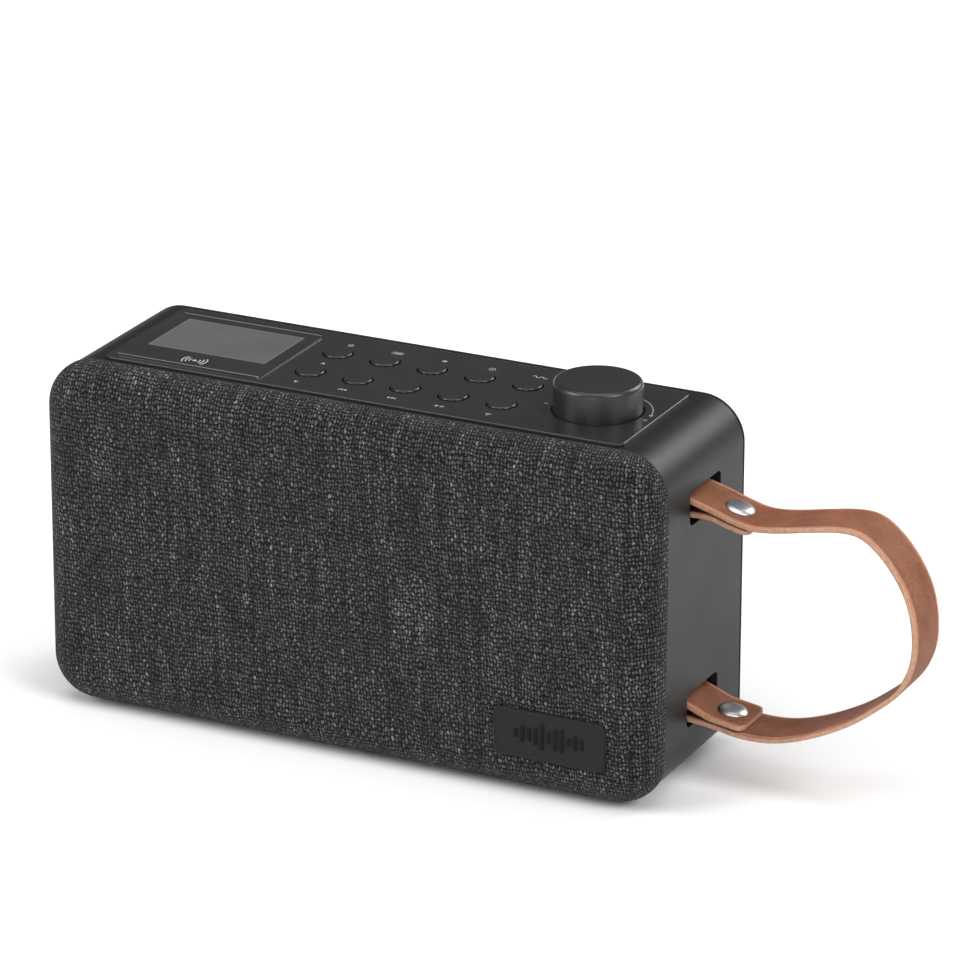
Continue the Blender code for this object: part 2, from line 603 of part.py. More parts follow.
def make_strap():
    path = strap_path()
    curve = bpy.data.curves.new("handle_strap", "CURVE")
    curve.dimensions = "2D"
    curve.fill_mode = "NONE"
    curve.extrude = STRAP_WIDTH / 2
    spline = curve.splines.new("POLY")
    spline.points.add(len(path) - 1)
    for point, place_2d in zip(spline.points, path):
        point.co = (place_2d.x, place_2d.y, 0.0, 1.0)
    ribbon = bpy.data.objects.new("ribbon", curve)
    ribbon.matrix_world = Matrix.Translation((0, STRAP_Y, 0)) @ AXIS_TURN["Y"]
    bpy.context.scene.collection.objects.link(ribbon)
    depsgraph = bpy.context.evaluated_depsgraph_get()
    mesh = bpy.data.meshes.new_from_object(ribbon.evaluated_get(depsgraph))
    mesh.transform(ribbon.matrix_world)
    bpy.data.objects.remove(ribbon)
    strap = place("handle_strap", mesh, LEATHER)
    solidify = strap.modifiers.new("Thickness", "SOLIDIFY")
    solidify.thickness = STRAP_T
    solidify.offset = 0.0
    solidify.use_even_offset = True
    for name, centre, angle in rivet_places():
        hole = pin("rivet_hole_" + name, RIVET_POST_R + GAP, -4 * MM, 4 * MM, centre, "Z", LEATHER,
                   16)
        hole.rotation_euler = (0, -angle, 0)
        boolean(strap, hole)
    shade(strap, 50)


def rivet_places():
    """Middle of the two layers and the strap's slope there, for each rivet."""
    for name, index, tail in (("upper", 1, UPPER_TAIL[1]), ("lower", len(LOOP) - 2, LOWER_TAIL[1])):
        middle = (LOOP[index] + tail) / 2
        angle = strap_slope(index, LOOP)
        if name == "lower":
            angle += math.pi
        yield name, (middle.x, STRAP_Y, middle.y), angle


def make_rivets():
    half = STRAP_T + 0.175 * MM + GAP
    profile = [(0.0, half + 1.5 * MM), (2.4 * MM, half + 1.3 * MM), (4.1 * MM, half + 0.7 * MM),
               (RIVET_R, half), (RIVET_POST_R, half), (RIVET_POST_R, -half), (4.2 * MM, -half),
               (3.8 * MM, -half - 0.7 * MM), (0.0, -half - 0.7 * MM)]
    for name, centre, angle in rivet_places():
        rivet = turned("rivet_" + name, profile, centre, "Z", NICKEL, 24)
        rivet.rotation_euler = (0, -angle, 0)
        shade(rivet)


def make_bars():
    reach = SLOT_SIZE[0] / 2 + 4.6 * MM
    for level, z in (("upper", UPPER_BAR_Z), ("lower", LOWER_BAR_Z)):
        shade(pin("strap_bar_" + level, BAR_R, -reach, reach, (BAR_X, STRAP_Y, z), "Y", STEEL, 20))


# ---- Telescopic antenna on the rear cover -------------------------------------------------
def make_antenna():
    """Each telescopic piece starts inside the one before; heights run along X from the pin."""
    bore_r = ANTENNA_R - 0.4 * MM
    middle_r = bore_r - GAP
    middle_bore = middle_r - 0.5 * MM
    root = -5.8 * MM
    near = root - 4 * MM
    cheek = 2.0 * MM                    # half of the fork's gap
    make_bracket_and_swivel(cheek)
    make_antenna_tube(root, bore_r, cheek - GAP)
    end = -ANTENNA_LENGTH
    middle = [(middle_r, near), (middle_r, end - 1 * MM), (middle_bore, end - 1 * MM),
              (middle_bore, near)]
    shade(turned("antenna_middle", middle, ANTENNA_HINGE, "X", CHROME, 20, closed=True))
    rod_end = end - 2 * MM
    shade(pin("antenna_rod", middle_bore - GAP, rod_end, near, ANTENNA_HINGE, "X", CHROME, 16))
    tip = pin("antenna_tip", ANTENNA_R, rod_end - 4 * MM, rod_end - GAP, ANTENNA_HINGE, "X",
              CHROME, 24)
    shade(bevel(tip, 0.8 * MM, 2))


def make_bracket_and_swivel(cheek):
    """The swivel is a stud through the bracket, a collar, and a fork open towards the rod."""
    x, y, z = ANTENNA_HINGE
    near = x + 7.5 * MM
    bracket = block("antenna_bracket", (near, REAR_Y + GAP, z - 5.5 * MM),
                    (near + 5 * MM, y + 5.5 * MM, z + 5.5 * MM), BLACK_SATIN)
    bevel(bracket, 0.8 * MM, 2)
    cut_hole(bracket, "swivel_bore", 2.3 * MM, -2 * MM, 7 * MM, (near, y, z), "X", 20)
    swivel = pin("antenna_swivel", 2.0 * MM, 7.0 * MM, 14.2 * MM, ANTENNA_HINGE, "X", CHROME, 20)
    fork = pin("fork", SWIVEL_R, -3.0 * MM, 7.2 * MM, ANTENNA_HINGE, "X", CHROME, 24)
    boolean(swivel, fork, "UNION")
    cut_box(swivel, "fork_gap", (x - 4 * MM, y - 6 * MM, z - cheek),
            (x + 4.4 * MM, y + 6 * MM, z + cheek))
    cut_hole(swivel, "pin_bore", HINGE_PIN_R + GAP, -6 * MM, 6 * MM, ANTENNA_HINGE, "Z", 16)
    shade(swivel)
    shade(pin("antenna_pin", HINGE_PIN_R, -3.6 * MM, 3.6 * MM, ANTENNA_HINGE, "Z", STEEL, 16))


def make_antenna_tube(root, bore_r, eye_half):
    """Outer tube with a flat eye round the pin."""
    x, y, z = ANTENNA_HINGE
    profile = [(0.0, root), (ANTENNA_R, root), (ANTENNA_R, -ANTENNA_LENGTH),
               (bore_r, -ANTENNA_LENGTH), (bore_r, root - 3 * MM), (0.0, root - 3 * MM)]
    tube = turned("antenna_tube", profile, ANTENNA_HINGE, "X", CHROME, 24)
    eye_r = 2.8 * MM
    eye = block("eye", (x + root - 1 * MM, y - eye_r, z - eye_half), (x, y + eye_r, z + eye_half),
                CHROME)
    boolean(tube, eye, "UNION")
    boolean(tube, pin("eye_end", eye_r, -eye_half, eye_half, ANTENNA_HINGE, "Z", CHROME, 20),
            "UNION")
    cut_hole(tube, "eye_bore", HINGE_PIN_R + GAP, -6 * MM, 6 * MM, ANTENNA_HINGE, "Z", 16)
    shade(tube)


def main():
    make_shell()
    make_rear_cover()
    make_front()
    make_base_pad()
    make_speaker()
    make_top_panel()
    make_display()
    make_buttons()
    make_key_board()
    make_knob()
    make_electronics()
    make_strap()
    make_rivets()
    make_bars()
    make_antenna()


main()
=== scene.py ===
"""Looks of the portable radio: every visible surface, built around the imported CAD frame."""

import math

import bmesh
import bpy
from mathutils import Matrix, Vector


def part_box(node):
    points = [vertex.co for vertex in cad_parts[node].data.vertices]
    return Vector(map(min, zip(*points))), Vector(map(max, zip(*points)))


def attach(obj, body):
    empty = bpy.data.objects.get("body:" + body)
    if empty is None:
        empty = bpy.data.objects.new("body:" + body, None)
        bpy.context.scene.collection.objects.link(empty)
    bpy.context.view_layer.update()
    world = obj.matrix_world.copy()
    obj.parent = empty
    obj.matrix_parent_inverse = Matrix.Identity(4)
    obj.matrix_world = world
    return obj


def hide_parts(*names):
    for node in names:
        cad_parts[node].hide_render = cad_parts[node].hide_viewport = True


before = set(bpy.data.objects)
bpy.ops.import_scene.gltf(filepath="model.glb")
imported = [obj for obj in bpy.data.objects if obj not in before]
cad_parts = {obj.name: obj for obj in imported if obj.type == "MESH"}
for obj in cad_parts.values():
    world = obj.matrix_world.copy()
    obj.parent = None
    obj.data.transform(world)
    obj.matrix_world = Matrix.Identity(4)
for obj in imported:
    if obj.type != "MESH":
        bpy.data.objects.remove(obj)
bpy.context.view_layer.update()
MM = 0.001

# ---- Places read from the frame ----
CLOTH_LOW, CLOTH_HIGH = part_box("grille_fabric")
SHELL_LOW, SHELL_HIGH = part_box("cabinet_shell")
COVER_LOW, COVER_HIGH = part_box("rear_cover")
PANEL_LOW, PANEL_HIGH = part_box("top_panel")
WINDOW_LOW, WINDOW_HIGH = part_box("display_window")
LCD_LOW, LCD_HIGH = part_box("lcd_module")
LCD_RIM = 0.85 * MM                 # the display's own blank rim
BADGE_LOW, BADGE_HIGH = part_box("badge")
KNOB_LOW, KNOB_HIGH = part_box("volume_knob")
STRAP_LOW, STRAP_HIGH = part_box("handle_strap")
PANEL_Z = PANEL_HIGH.z
BUTTONS = [name for name in sorted(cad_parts) if name.startswith("button_")]


def middle(node):
    low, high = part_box(node)
    return (low + high) / 2


BARS = {level: middle("strap_bar_" + level) for level in ("upper", "lower")}
JACKS = ("aux_jack", "headphone_jack")
SCREWS = ["cover_screw_%d" % number for number in range(1, 5)]

# ---- Sizes the frame does not name ----
CLOTH_CORNER = 15.4 * MM
CLOTH_ROUND = 11.0 * MM
WARP_PITCH = 1.12 * MM
WEFT_PITCH = 1.48 * MM
WARP_SKEW = 0.094                   # the warp leans a little
BODY_CORNER = 14.8 * MM
WALL = 3.0 * MM
PANEL_CORNER = 3.0 * MM
SLOT_CORNER = 2.0 * MM
SLOT_HALF_Y, SLOT_HALF_Z = 11.7 * MM, 5.7 * MM
WINDOW_CORNER = 1.2 * MM
BADGE_CORNER = 2.4 * MM
BADGE_EDGE = 0.75 * MM
BADGE_FIELD = 0.16 * MM             # depth of the field inside the badge's rim
BUTTON_R = 4.7 * MM
BUTTON_HOLE_R = 5.15 * MM
BUTTON_EDGE = 0.6 * MM
KNOB_EDGE = 1.8 * MM
WELL_R, WELL_DEPTH = 15.0 * MM, 1.2 * MM    # the knob's skirt sinks into this well
ARC_R = 17.4 * MM                   # printed volume arc
SIGN_X, SIGN_Y = 17.2 * MM, 1.9 * MM        # the arc's minus and plus, from the knob's axis
STRAP_T = 1.8 * MM
BAR_R = 2.0 * MM
CLEAR = 2 * MM                      # how far a cutter reaches past what it cuts


# ---- Materials ----
class Finish:
    """A node material: short calls for the nodes that its pattern needs."""

    def __init__(self, name, **values):
        self.material = bpy.data.materials.new(name)
        self.material.use_nodes = True
        self.nodes = self.material.node_tree.nodes
        self.links = self.material.node_tree.links
        self.shader = self.nodes["Principled BSDF"]
        for key, value in values.items():
            socket = self.shader.inputs[key.replace("_", " ")]
            socket.default_value = (*value, 1.0) if isinstance(value, tuple) else value

    def add(self, kind, inputs=(), **properties):
        """inputs: values or sockets in order, or by the name or number of the input."""
        node = self.nodes.new("ShaderNode" + kind)
        for key, value in properties.items():
            setattr(node, key, value)
        for key, value in inputs.items() if isinstance(inputs, dict) else enumerate(inputs):
            self.feed(node.inputs[key], value)
        return node

    def feed(self, socket, value):
        if isinstance(value, bpy.types.NodeSocket):
            self.links.new(value, socket)
        elif value is not None:
            socket.default_value = value

    def math(self, operation, *inputs):
        return self.add("Math", inputs, operation=operation).outputs[0]

    def vector(self, operation, *inputs):
        return self.add("VectorMath", inputs, operation=operation).outputs[0]

    def scaled(self, vector, factors):
        return self.vector("MULTIPLY", vector, factors)

    def place(self):
        return self.add("TexCoord").outputs["Object"]

    def attribute(self, name):
        return self.add("Attribute", attribute_name=name)

    def noise(self, vector, scale, detail=2.0, roughness=0.5, output="Fac"):
        return self.add("TexNoise", {"Vector": vector, "Scale": scale, "Detail": detail,
                                     "Roughness": roughness}).outputs[output]

    def cells(self, vector, scale, feature):
        return self.add("TexVoronoi", {"Vector": vector, "Scale": scale},
                        feature=feature).outputs["Distance"]

    def remap(self, value, low, high, to_low, to_high):
        return self.add("MapRange", (value, low, high, to_low, to_high)).outputs[0]

    def ramp(self, value, stops):
        node = self.add("ValToRGB", (value,))
        elements = node.color_ramp.elements
        while len(elements) < len(stops):
            elements.new(0.5)
        for element, (position, colour) in zip(elements, stops):
            element.position = position
            element.color = (*colour, 1.0)
        return node.outputs[0]

    def mix(self, factor, first, second, blend="MIX"):
        return self.add("Mix", {0: factor, 6: first, 7: second}, data_type="RGBA",
                        blend_type=blend).outputs[2]

    def bump(self, height, distance):
        node = self.add("Bump", {"Strength": 1.0, "Distance": distance, "Height": height})
        self.feed(self.shader.inputs["Normal"], node.outputs[0])

    def colour(self, value):
        self.feed(self.shader.inputs["Base Color"], value)

    def rough(self, value):
        self.feed(self.shader.inputs["Roughness"], value)


def grey(value):
    return (value, value, value * 1.01)


def moulded(name, tone, roughness, grain, depth, coat=0.0, shine=0.5):
    """Moulded plastic: spark-eroded grain (depth in mm), faint handling marks in the gloss."""
    finish = Finish(name, Coat_Weight=coat, Coat_Roughness=0.12, Specular_IOR_Level=shine)
    place = finish.place()
    fine = finish.noise(place, grain, 3.0, 0.6)
    cloud = finish.noise(place, 30.0, 4.0, 0.6)
    finish.colour(finish.ramp(cloud, [(0.3, grey(tone * 0.88)), (0.7, grey(tone * 1.12))]))
    wiped = finish.remap(cloud, 0.3, 0.7, roughness - 0.05, roughness + 0.02)
    finish.rough(finish.math("MULTIPLY_ADD", fine, 0.06, wiped))
    finish.bump(fine, depth * MM)
    return finish.material


def metal(name, tone, roughness, scratches=0.04):
    """Plated metal with fine wipe marks across it."""
    finish = Finish(name, Metallic=1.0)
    place = finish.place()
    streak = finish.noise(finish.scaled(place, (900.0, 900.0, 60.0)), 1.0, 3.0, 0.7)
    patch = finish.noise(place, 260.0, 2.0)
    finish.colour(finish.ramp(patch, [(0.3, tuple(0.92 * t for t in tone)), (0.7, tone)]))
    finish.rough(finish.remap(streak, 0.3, 0.7, roughness, roughness + scratches))
    finish.bump(streak, 0.004 * MM)
    return finish.material


def woven_cloth():
    """Plain weave of mottled yarn; 'weave' holds the cloth's own unrolled coordinates."""
    finish = Finish("woven_fabric", Roughness=0.9, Specular_IOR_Level=0.2, Sheen_Weight=0.05,
                    Sheen_Roughness=0.5)
    cloth = finish.attribute("weave").outputs["Vector"]
    ends = finish.add("SeparateXYZ", (cloth,))
    skewed = finish.add("CombineXYZ", (
        finish.math("MULTIPLY_ADD", ends.outputs[1], WARP_SKEW, ends.outputs[0]),
        ends.outputs[1]))
    threads = finish.scaled(skewed.outputs[0], (1 / WARP_PITCH, 1 / WEFT_PITCH, 1.0))
    for scale, amount in ((60.0, 2.2), (260.0, 1.4), (800.0, 1.1)):
        waver = finish.noise(cloth, scale, 1.0, output="Color")
        centred = finish.vector("SUBTRACT", waver, (0.5, 0.5, 0.5))
        threads = finish.vector("ADD", threads, finish.scaled(centred, (amount,) * 3))
    cell = finish.vector("FLOOR", threads)
    parts = finish.add("SeparateXYZ", (finish.vector("FRACTION", threads),))
    cells = finish.add("SeparateXYZ", (cell,))
    warp_on_top = finish.math("FLOORED_MODULO", finish.math(
        "ADD", cells.outputs[0], cells.outputs[1]), 2.0)
    round_u = finish.math("SINE", finish.math("MULTIPLY", parts.outputs[0], math.pi))
    round_v = finish.math("SINE", finish.math("MULTIPLY", parts.outputs[1], math.pi))

    def choose(weft, warp):
        return finish.add("Mix", {0: warp_on_top, 2: weft, 3: warp}, data_type="FLOAT").outputs[0]

    def stitch(across, along, crown):
        body = finish.math("POWER", across, 0.9)
        arch = finish.math("POWER", along, 0.55)
        return finish.math("MULTIPLY", finish.math("MULTIPLY", body, arch), crown)

    height = choose(stitch(round_v, round_u, 0.72), stitch(round_u, round_v, 1.0))
    # Yarn tone: each stitch differs, and a yarn keeps its tone for a stretch.
    stitch_tone = finish.add("TexWhiteNoise", {"Vector": cell}, noise_dimensions="2D")
    warp_yarn = finish.noise(finish.scaled(cell, (0.9, 0.13, 1.0)), 1.0, 1.0)
    weft_yarn = finish.noise(finish.scaled(cell, (0.13, 0.9, 1.0)), 1.0, 1.0)
    streak = finish.noise(finish.scaled(cloth, (430.0, 28.0, 1.0)), 1.0, 2.0, 0.6)
    cloud = finish.noise(cloth, 55.0, 2.0, 0.5)
    fibre = finish.noise(cloth, 1900.0, 3.0, 0.8)
    tone = finish.math("MULTIPLY", stitch_tone.outputs["Value"], 0.36)
    for value, weight in ((choose(weft_yarn, warp_yarn), 0.5), (streak, 1.0), (cloud, 0.3),
                          (fibre, 1.3)):
        tone = finish.math("MULTIPLY_ADD", value, weight, tone)
    yarns = finish.ramp(finish.remap(tone, 1.27, 2.22, 0.0, 1.0), [
        (0.0, grey(0.018)), (0.4, grey(0.062)), (0.7, grey(0.125)), (1.0, grey(0.30))])
    # Painted shade: the yarn colour is darkened towards the gaps between stitches, where the
    # threads would shade each other.
    depth = finish.remap(height, 0.34, 0.86, 0.04, 1.05)
    finish.colour(finish.mix(1.0, yarns, depth, "MULTIPLY"))
    relief = finish.math("MULTIPLY_ADD", fibre, 0.3, height)
    finish.bump(relief, 0.5 * MM)
    return finish.material


def tan_leather():
    """Smooth tan leather: pores and creases on the faces, pale fibrous cut edges."""
    finish = Finish("leather", Specular_IOR_Level=0.22, Sheen_Weight=0.08)
    place = finish.place()
    edge = finish.attribute("edge").outputs["Fac"]
    pores = finish.cells(place, 1500.0, "F1")
    grain = finish.noise(place, 1300.0, 4.0, 0.65)
    cloud = finish.noise(place, 90.0, 3.0, 0.6)
    mottled = finish.math("MULTIPLY_ADD", cloud, 0.5, finish.math("MULTIPLY", grain, 0.5))
    face = finish.ramp(mottled, [(0.3, (0.27, 0.100, 0.048)), (0.5, (0.41, 0.163, 0.086)),
                                 (0.7, (0.56, 0.245, 0.140))])
    fibres = finish.noise(finish.scaled(place, (700.0, 2600.0, 700.0)), 1.0, 3.0, 0.7)
    cut_face = finish.ramp(fibres, [(0.3, (0.36, 0.19, 0.115)), (0.7, (0.52, 0.31, 0.21))])
    finish.colour(finish.mix(edge, face, cut_face))
    finish.rough(finish.remap(mottled, 0.3, 0.7, 0.62, 0.5))
    relief = finish.math("MULTIPLY_ADD", pores, 0.5, grain)
    finish.bump(relief, 0.09 * MM)
    return finish.material


def rubbery(name, tone, scale=1600.0, depth=0.05):
    """Soft rubber with a pebbled skin (depth in mm)."""
    finish = Finish(name, Specular_IOR_Level=0.22)
    place = finish.place()
    pebble = finish.cells(place, scale, "SMOOTH_F1")
    cloud = finish.noise(place, 60.0, 3.0)
    finish.colour(finish.ramp(cloud, [(0.3, grey(tone * 0.85)), (0.7, grey(tone * 1.15))]))
    finish.rough(finish.remap(cloud, 0.3, 0.7, 0.62, 0.74))
    finish.bump(pebble, depth * MM)
    return finish.material


def display_glass():
    """Gloss window: black printed back with a clear field over the grey, unlit display."""
    finish = Finish("window_acrylic", Coat_Weight=1.0, Coat_Roughness=0.03, Roughness=0.35,
                    Specular_IOR_Level=0.3)
    where = finish.add("SeparateXYZ", (finish.place(),))
    field = None
    for axis, low, high in ((0, LCD_LOW.x, LCD_HIGH.x), (1, LCD_LOW.y, LCD_HIGH.y)):
        half = (high - low) / 2 - LCD_RIM
        offset = finish.math("SUBTRACT", where.outputs[axis], (low + high) / 2)
        distance = finish.math("SUBTRACT", finish.math("ABSOLUTE", offset), half)
        field = distance if field is None else finish.math("MAXIMUM", field, distance)
    inside = finish.remap(field, 0.0, -0.12 * MM, 0.0, 1.0)
    rim = finish.remap(finish.math("ABSOLUTE", finish.math("ADD", field, 0.5 * MM)), 0.0,
                       0.35 * MM, 1.0, 0.0)
    haze = finish.noise(finish.place(), 45.0, 3.0)
    grid = finish.math("SINE", finish.math("MULTIPLY", where.outputs[0], 2 * math.pi / (0.6 * MM)))
    glow = finish.math("MULTIPLY_ADD", grid, 0.06, haze)
    lcd = finish.ramp(glow, [(0.3, (0.088, 0.09, 0.088)), (0.7, (0.108, 0.11, 0.109))])
    framed = finish.mix(rim, lcd, (0.15, 0.15, 0.15, 1.0))
    printed = finish.ramp(haze, [(0.3, grey(0.007)), (0.7, grey(0.011))])
    # Painted highlight: a lighter line along the clear plate's front and rear edges, where the
    # edges catch the light.
    across = finish.math("ABSOLUTE", finish.math(
        "SUBTRACT", where.outputs[1], (WINDOW_LOW.y + WINDOW_HIGH.y) / 2))
    from_edge = finish.math("ABSOLUTE", finish.math(
        "SUBTRACT", across, (WINDOW_HIGH.y - WINDOW_LOW.y) / 2 - 0.4 * MM))
    painted_edge_highlight = finish.remap(from_edge, 0.1 * MM, 0.25 * MM, 1.0, 0.0)
    field_colour = finish.mix(inside, printed, framed)
    finish.colour(finish.mix(painted_edge_highlight, field_colour, (0.3, 0.3, 0.3, 1.0)))
    finish.rough(finish.remap(haze, 0.3, 0.7, 0.33, 0.4))
    return finish.material


def printed_ink():
    finish = Finish("print_ink", Roughness=0.6)
    wear = finish.noise(finish.place(), 1800.0, 3.0)
    finish.colour(finish.ramp(wear, [(0.3, grey(0.3)), (0.7, grey(0.42))]))
    return finish.material


def circuit_board():
    """Green solder mask with paler tracks."""
    finish = Finish("circuit_board", Coat_Weight=0.4)
    tracks = finish.add("TexBrick", {
        "Vector": finish.place(), "Scale": 260.0, "Color1": (0.02, 0.12, 0.05, 1.0),
        "Color2": (0.025, 0.15, 0.06, 1.0), "Mortar": (0.06, 0.24, 0.11, 1.0)})
    finish.colour(tracks.outputs[0])
    finish.rough(finish.remap(finish.noise(finish.place(), 500.0), 0.3, 0.7, 0.4, 0.5))
    return finish.material


def mottled(name, low, high, scale, roughness):
    finish = Finish(name, Roughness=roughness)
    speckle = finish.noise(finish.place(), scale, 4.0, 0.7)
    finish.colour(finish.ramp(speckle, [(0.3, low), (0.7, high)]))
    finish.bump(speckle, 0.02 * MM)
    return finish.material


CLOTH = woven_cloth()
CABINET = moulded("cabinet_plastic", 0.0095, 0.44, 2400.0, 0.02, shine=0.33)
PANEL = moulded("panel_plastic", 0.019, 0.26, 3000.0, 0.005)
KNOB = moulded("knob_plastic", 0.019, 0.29, 3000.0, 0.006)
GLOSS = moulded("gloss_plastic", 0.006, 0.22, 3000.0, 0.004, coat=0.5)
RUBBER = rubbery("badge_rubber", 0.013)
MARK = rubbery("badge_mark", 0.0015)
FOOT_RUBBER = rubbery("pad_rubber", 0.022, 700.0, 0.08)
GLASS = display_glass()
INK = printed_ink()
LEATHER = tan_leather()
NICKEL = metal("nickel", (0.6, 0.59, 0.61), 0.3)
STEEL = metal("steel", (0.5, 0.5, 0.52), 0.34, 0.12)
CHROME = metal("antenna_chrome", (0.42, 0.42, 0.43), 0.16)
BOARD = circuit_board()
FERRITE = mottled("magnet", (0.03, 0.03, 0.032), (0.06, 0.06, 0.062), 900.0, 0.6)
PAPER = mottled("cone_paper", (0.03, 0.03, 0.033), (0.055, 0.055, 0.06), 700.0, 0.85)
WRAP = mottled("battery_wrap", (0.03, 0.09, 0.24), (0.045, 0.12, 0.3), 120.0, 0.4)


# ---- Mesh helpers ----
def piece(name, verts, faces, material, angle=35.0, mark=None, to_front=False):
    """Object with outward normals. mark is a value per point that the material reads, as
    (attribute, kind, field, values)."""
    mesh = bpy.data.meshes.new(name)
    mesh.from_pydata(verts, [], faces)
    if mark:
        attribute, kind, field, values = mark
        mesh.attributes.new(attribute, kind, "POINT").data.foreach_set(field, values)
    body = bmesh.new()
    body.from_mesh(mesh)
    if not mark:
        bmesh.ops.remove_doubles(body, verts=body.verts, dist=1e-7)
    bmesh.ops.recalc_face_normals(body, faces=body.faces)
    if to_front and sum(face.normal.y for face in body.faces) > 0:
        bmesh.ops.reverse_faces(body, faces=body.faces)
    body.to_mesh(mesh)
    body.free()
    mesh.materials.append(material)
    obj = bpy.data.objects.new(name, mesh)
    bpy.context.scene.collection.objects.link(obj)
    return smooth(obj, angle)


def smooth(obj, angle=35.0):
    obj.data.shade_smooth()
    obj.data.set_sharp_from_angle(angle=math.radians(angle))
    return obj


def rounded_outline(low, high, radius, steps):
    """Counter-clockwise rounded rectangle between two 2D corners."""
    points = []
    for corner in range(4):
        u = (high[0] - radius) if corner in (0, 3) else (low[0] + radius)
        v = (high[1] - radius) if corner in (0, 1) else (low[1] + radius)
        for step in range(steps + 1):
            angle = math.radians(90 * (corner + step / steps))
            points.append((u + radius * math.cos(angle), v + radius * math.sin(angle)))
    return points


def inset_outline(low, high, radius, inset, steps):
    grown = Vector((inset,) * 2)
    return rounded_outline(low + grown, high - grown, radius - inset, steps)


def ring_faces(count, size, closed=False):
    """Quads between rings of equal size; caps at both ends unless the rings close up."""
    faces = []
    for ring in range(count if closed else count - 1):
        near, far = ring * size, (ring + 1) % count * size
        for i in range(size):
            j = (i + 1) % size
            faces.append((near + i, near + j, far + j, far + i))
    if not closed:
        faces.append(tuple(range(size)))
        faces.append(tuple(range((count - 1) * size, count * size)))
    return faces


def lofted(name, rings, material, closed=False, angle=35.0):
    verts = [point for ring in rings for point in ring]
    return piece(name, verts, ring_faces(len(rings), len(rings[0]), closed), material, angle)


def facing_y(outline, y):
    return [(u, y, v) for u, v in outline]


def facing_z(outline, z):
    return [(u, v, z) for u, v in outline]


def facing_x(outline, x):
    return [(x, u, v) for u, v in outline]


def prism(name, outline, facing, start, end, material=None):
    return lofted(name, [facing(outline, start), facing(outline, end)], material or CABINET)


def centred_outline(u, v, half_u, half_v, radius, steps):
    return rounded_outline((u - half_u, v - half_v), (u + half_u, v + half_v), radius, steps)


def round_over(radius, top, edge, angles):
    """Profile points from the top face over the edge to the side."""
    turns = [math.radians(angle) for angle in angles]
    return [(radius - edge * (1 - math.cos(turn)), top - edge * (1 - math.sin(turn)))
            for turn in turns]


def in_mm(profile):
    return [(radius * MM, height * MM) for radius, height in profile]


def fillet(radius, steps=4):
    """(inset, set-back) pairs that round an edge, from its side to its face."""
    for step in range(steps + 1):
        angle = math.radians(90 * step / steps)
        yield radius * (1 - math.cos(angle)), radius * (1 - math.sin(angle))


AXES = {
    "Z": Matrix.Identity(3),
    "Y": Matrix.Rotation(math.radians(-90), 3, "X"),
    "X": Matrix.Rotation(math.radians(90), 3, "Y"),
}


def turned(name, profile, centre, material, axis="Z", steps=64, turn=None, angle=35.0):
    """Solid of revolution: (radius, height) points along an axis through the centre."""
    frame_3d = turn or AXES[axis]
    centre = Vector(centre)
    rings = []
    for radius, height in profile:
        ring = []
        for step in range(steps):
            around = 2 * math.pi * step / steps
            local = Vector((radius * math.cos(around), radius * math.sin(around), height))
            ring.append(tuple(centre + frame_3d @ local))
        rings.append(ring)
    return lofted(name, rings, material, angle=angle)


def cut(target, *cutters):
    """Takes each cutter out of the target, then removes it."""
    for cutter in cutters:
        modifier = target.modifiers.new("cut", "BOOLEAN")
        modifier.operation = "DIFFERENCE"
        modifier.solver = "EXACT"
        modifier.object = cutter
    bake(target)
    for cutter in cutters:
        bpy.data.objects.remove(cutter)
    return target


def bake(target):
    depsgraph = bpy.context.evaluated_depsgraph_get()
    mesh = bpy.data.meshes.new_from_object(target.evaluated_get(depsgraph))
    target.modifiers.clear()
    target.data = mesh
    return target


def soften(target, width, segments=2, limit=50.0):
    """Rounds the edges sharper than the limit."""
    modifier = target.modifiers.new("edges", "BEVEL")
    modifier.width = width
    modifier.segments = segments
    modifier.limit_method = "ANGLE"
    modifier.angle_limit = math.radians(limit)
    smooth(bake(target))
    even = target.modifiers.new("normals", "WEIGHTED_NORMAL")
    even.keep_sharp = True
    return bake(target)


def peg(name, radius, low, high, centre, axis="Z", steps=48):
    return turned(name, [(radius, low), (radius, high)], centre, CABINET, axis, steps)


def show(obj, body, slot, *nodes):
    """The piece rides on a body and stands for CAD nodes; slot is not used."""
    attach(obj, body)
    if nodes:
        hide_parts(*nodes)
    return obj


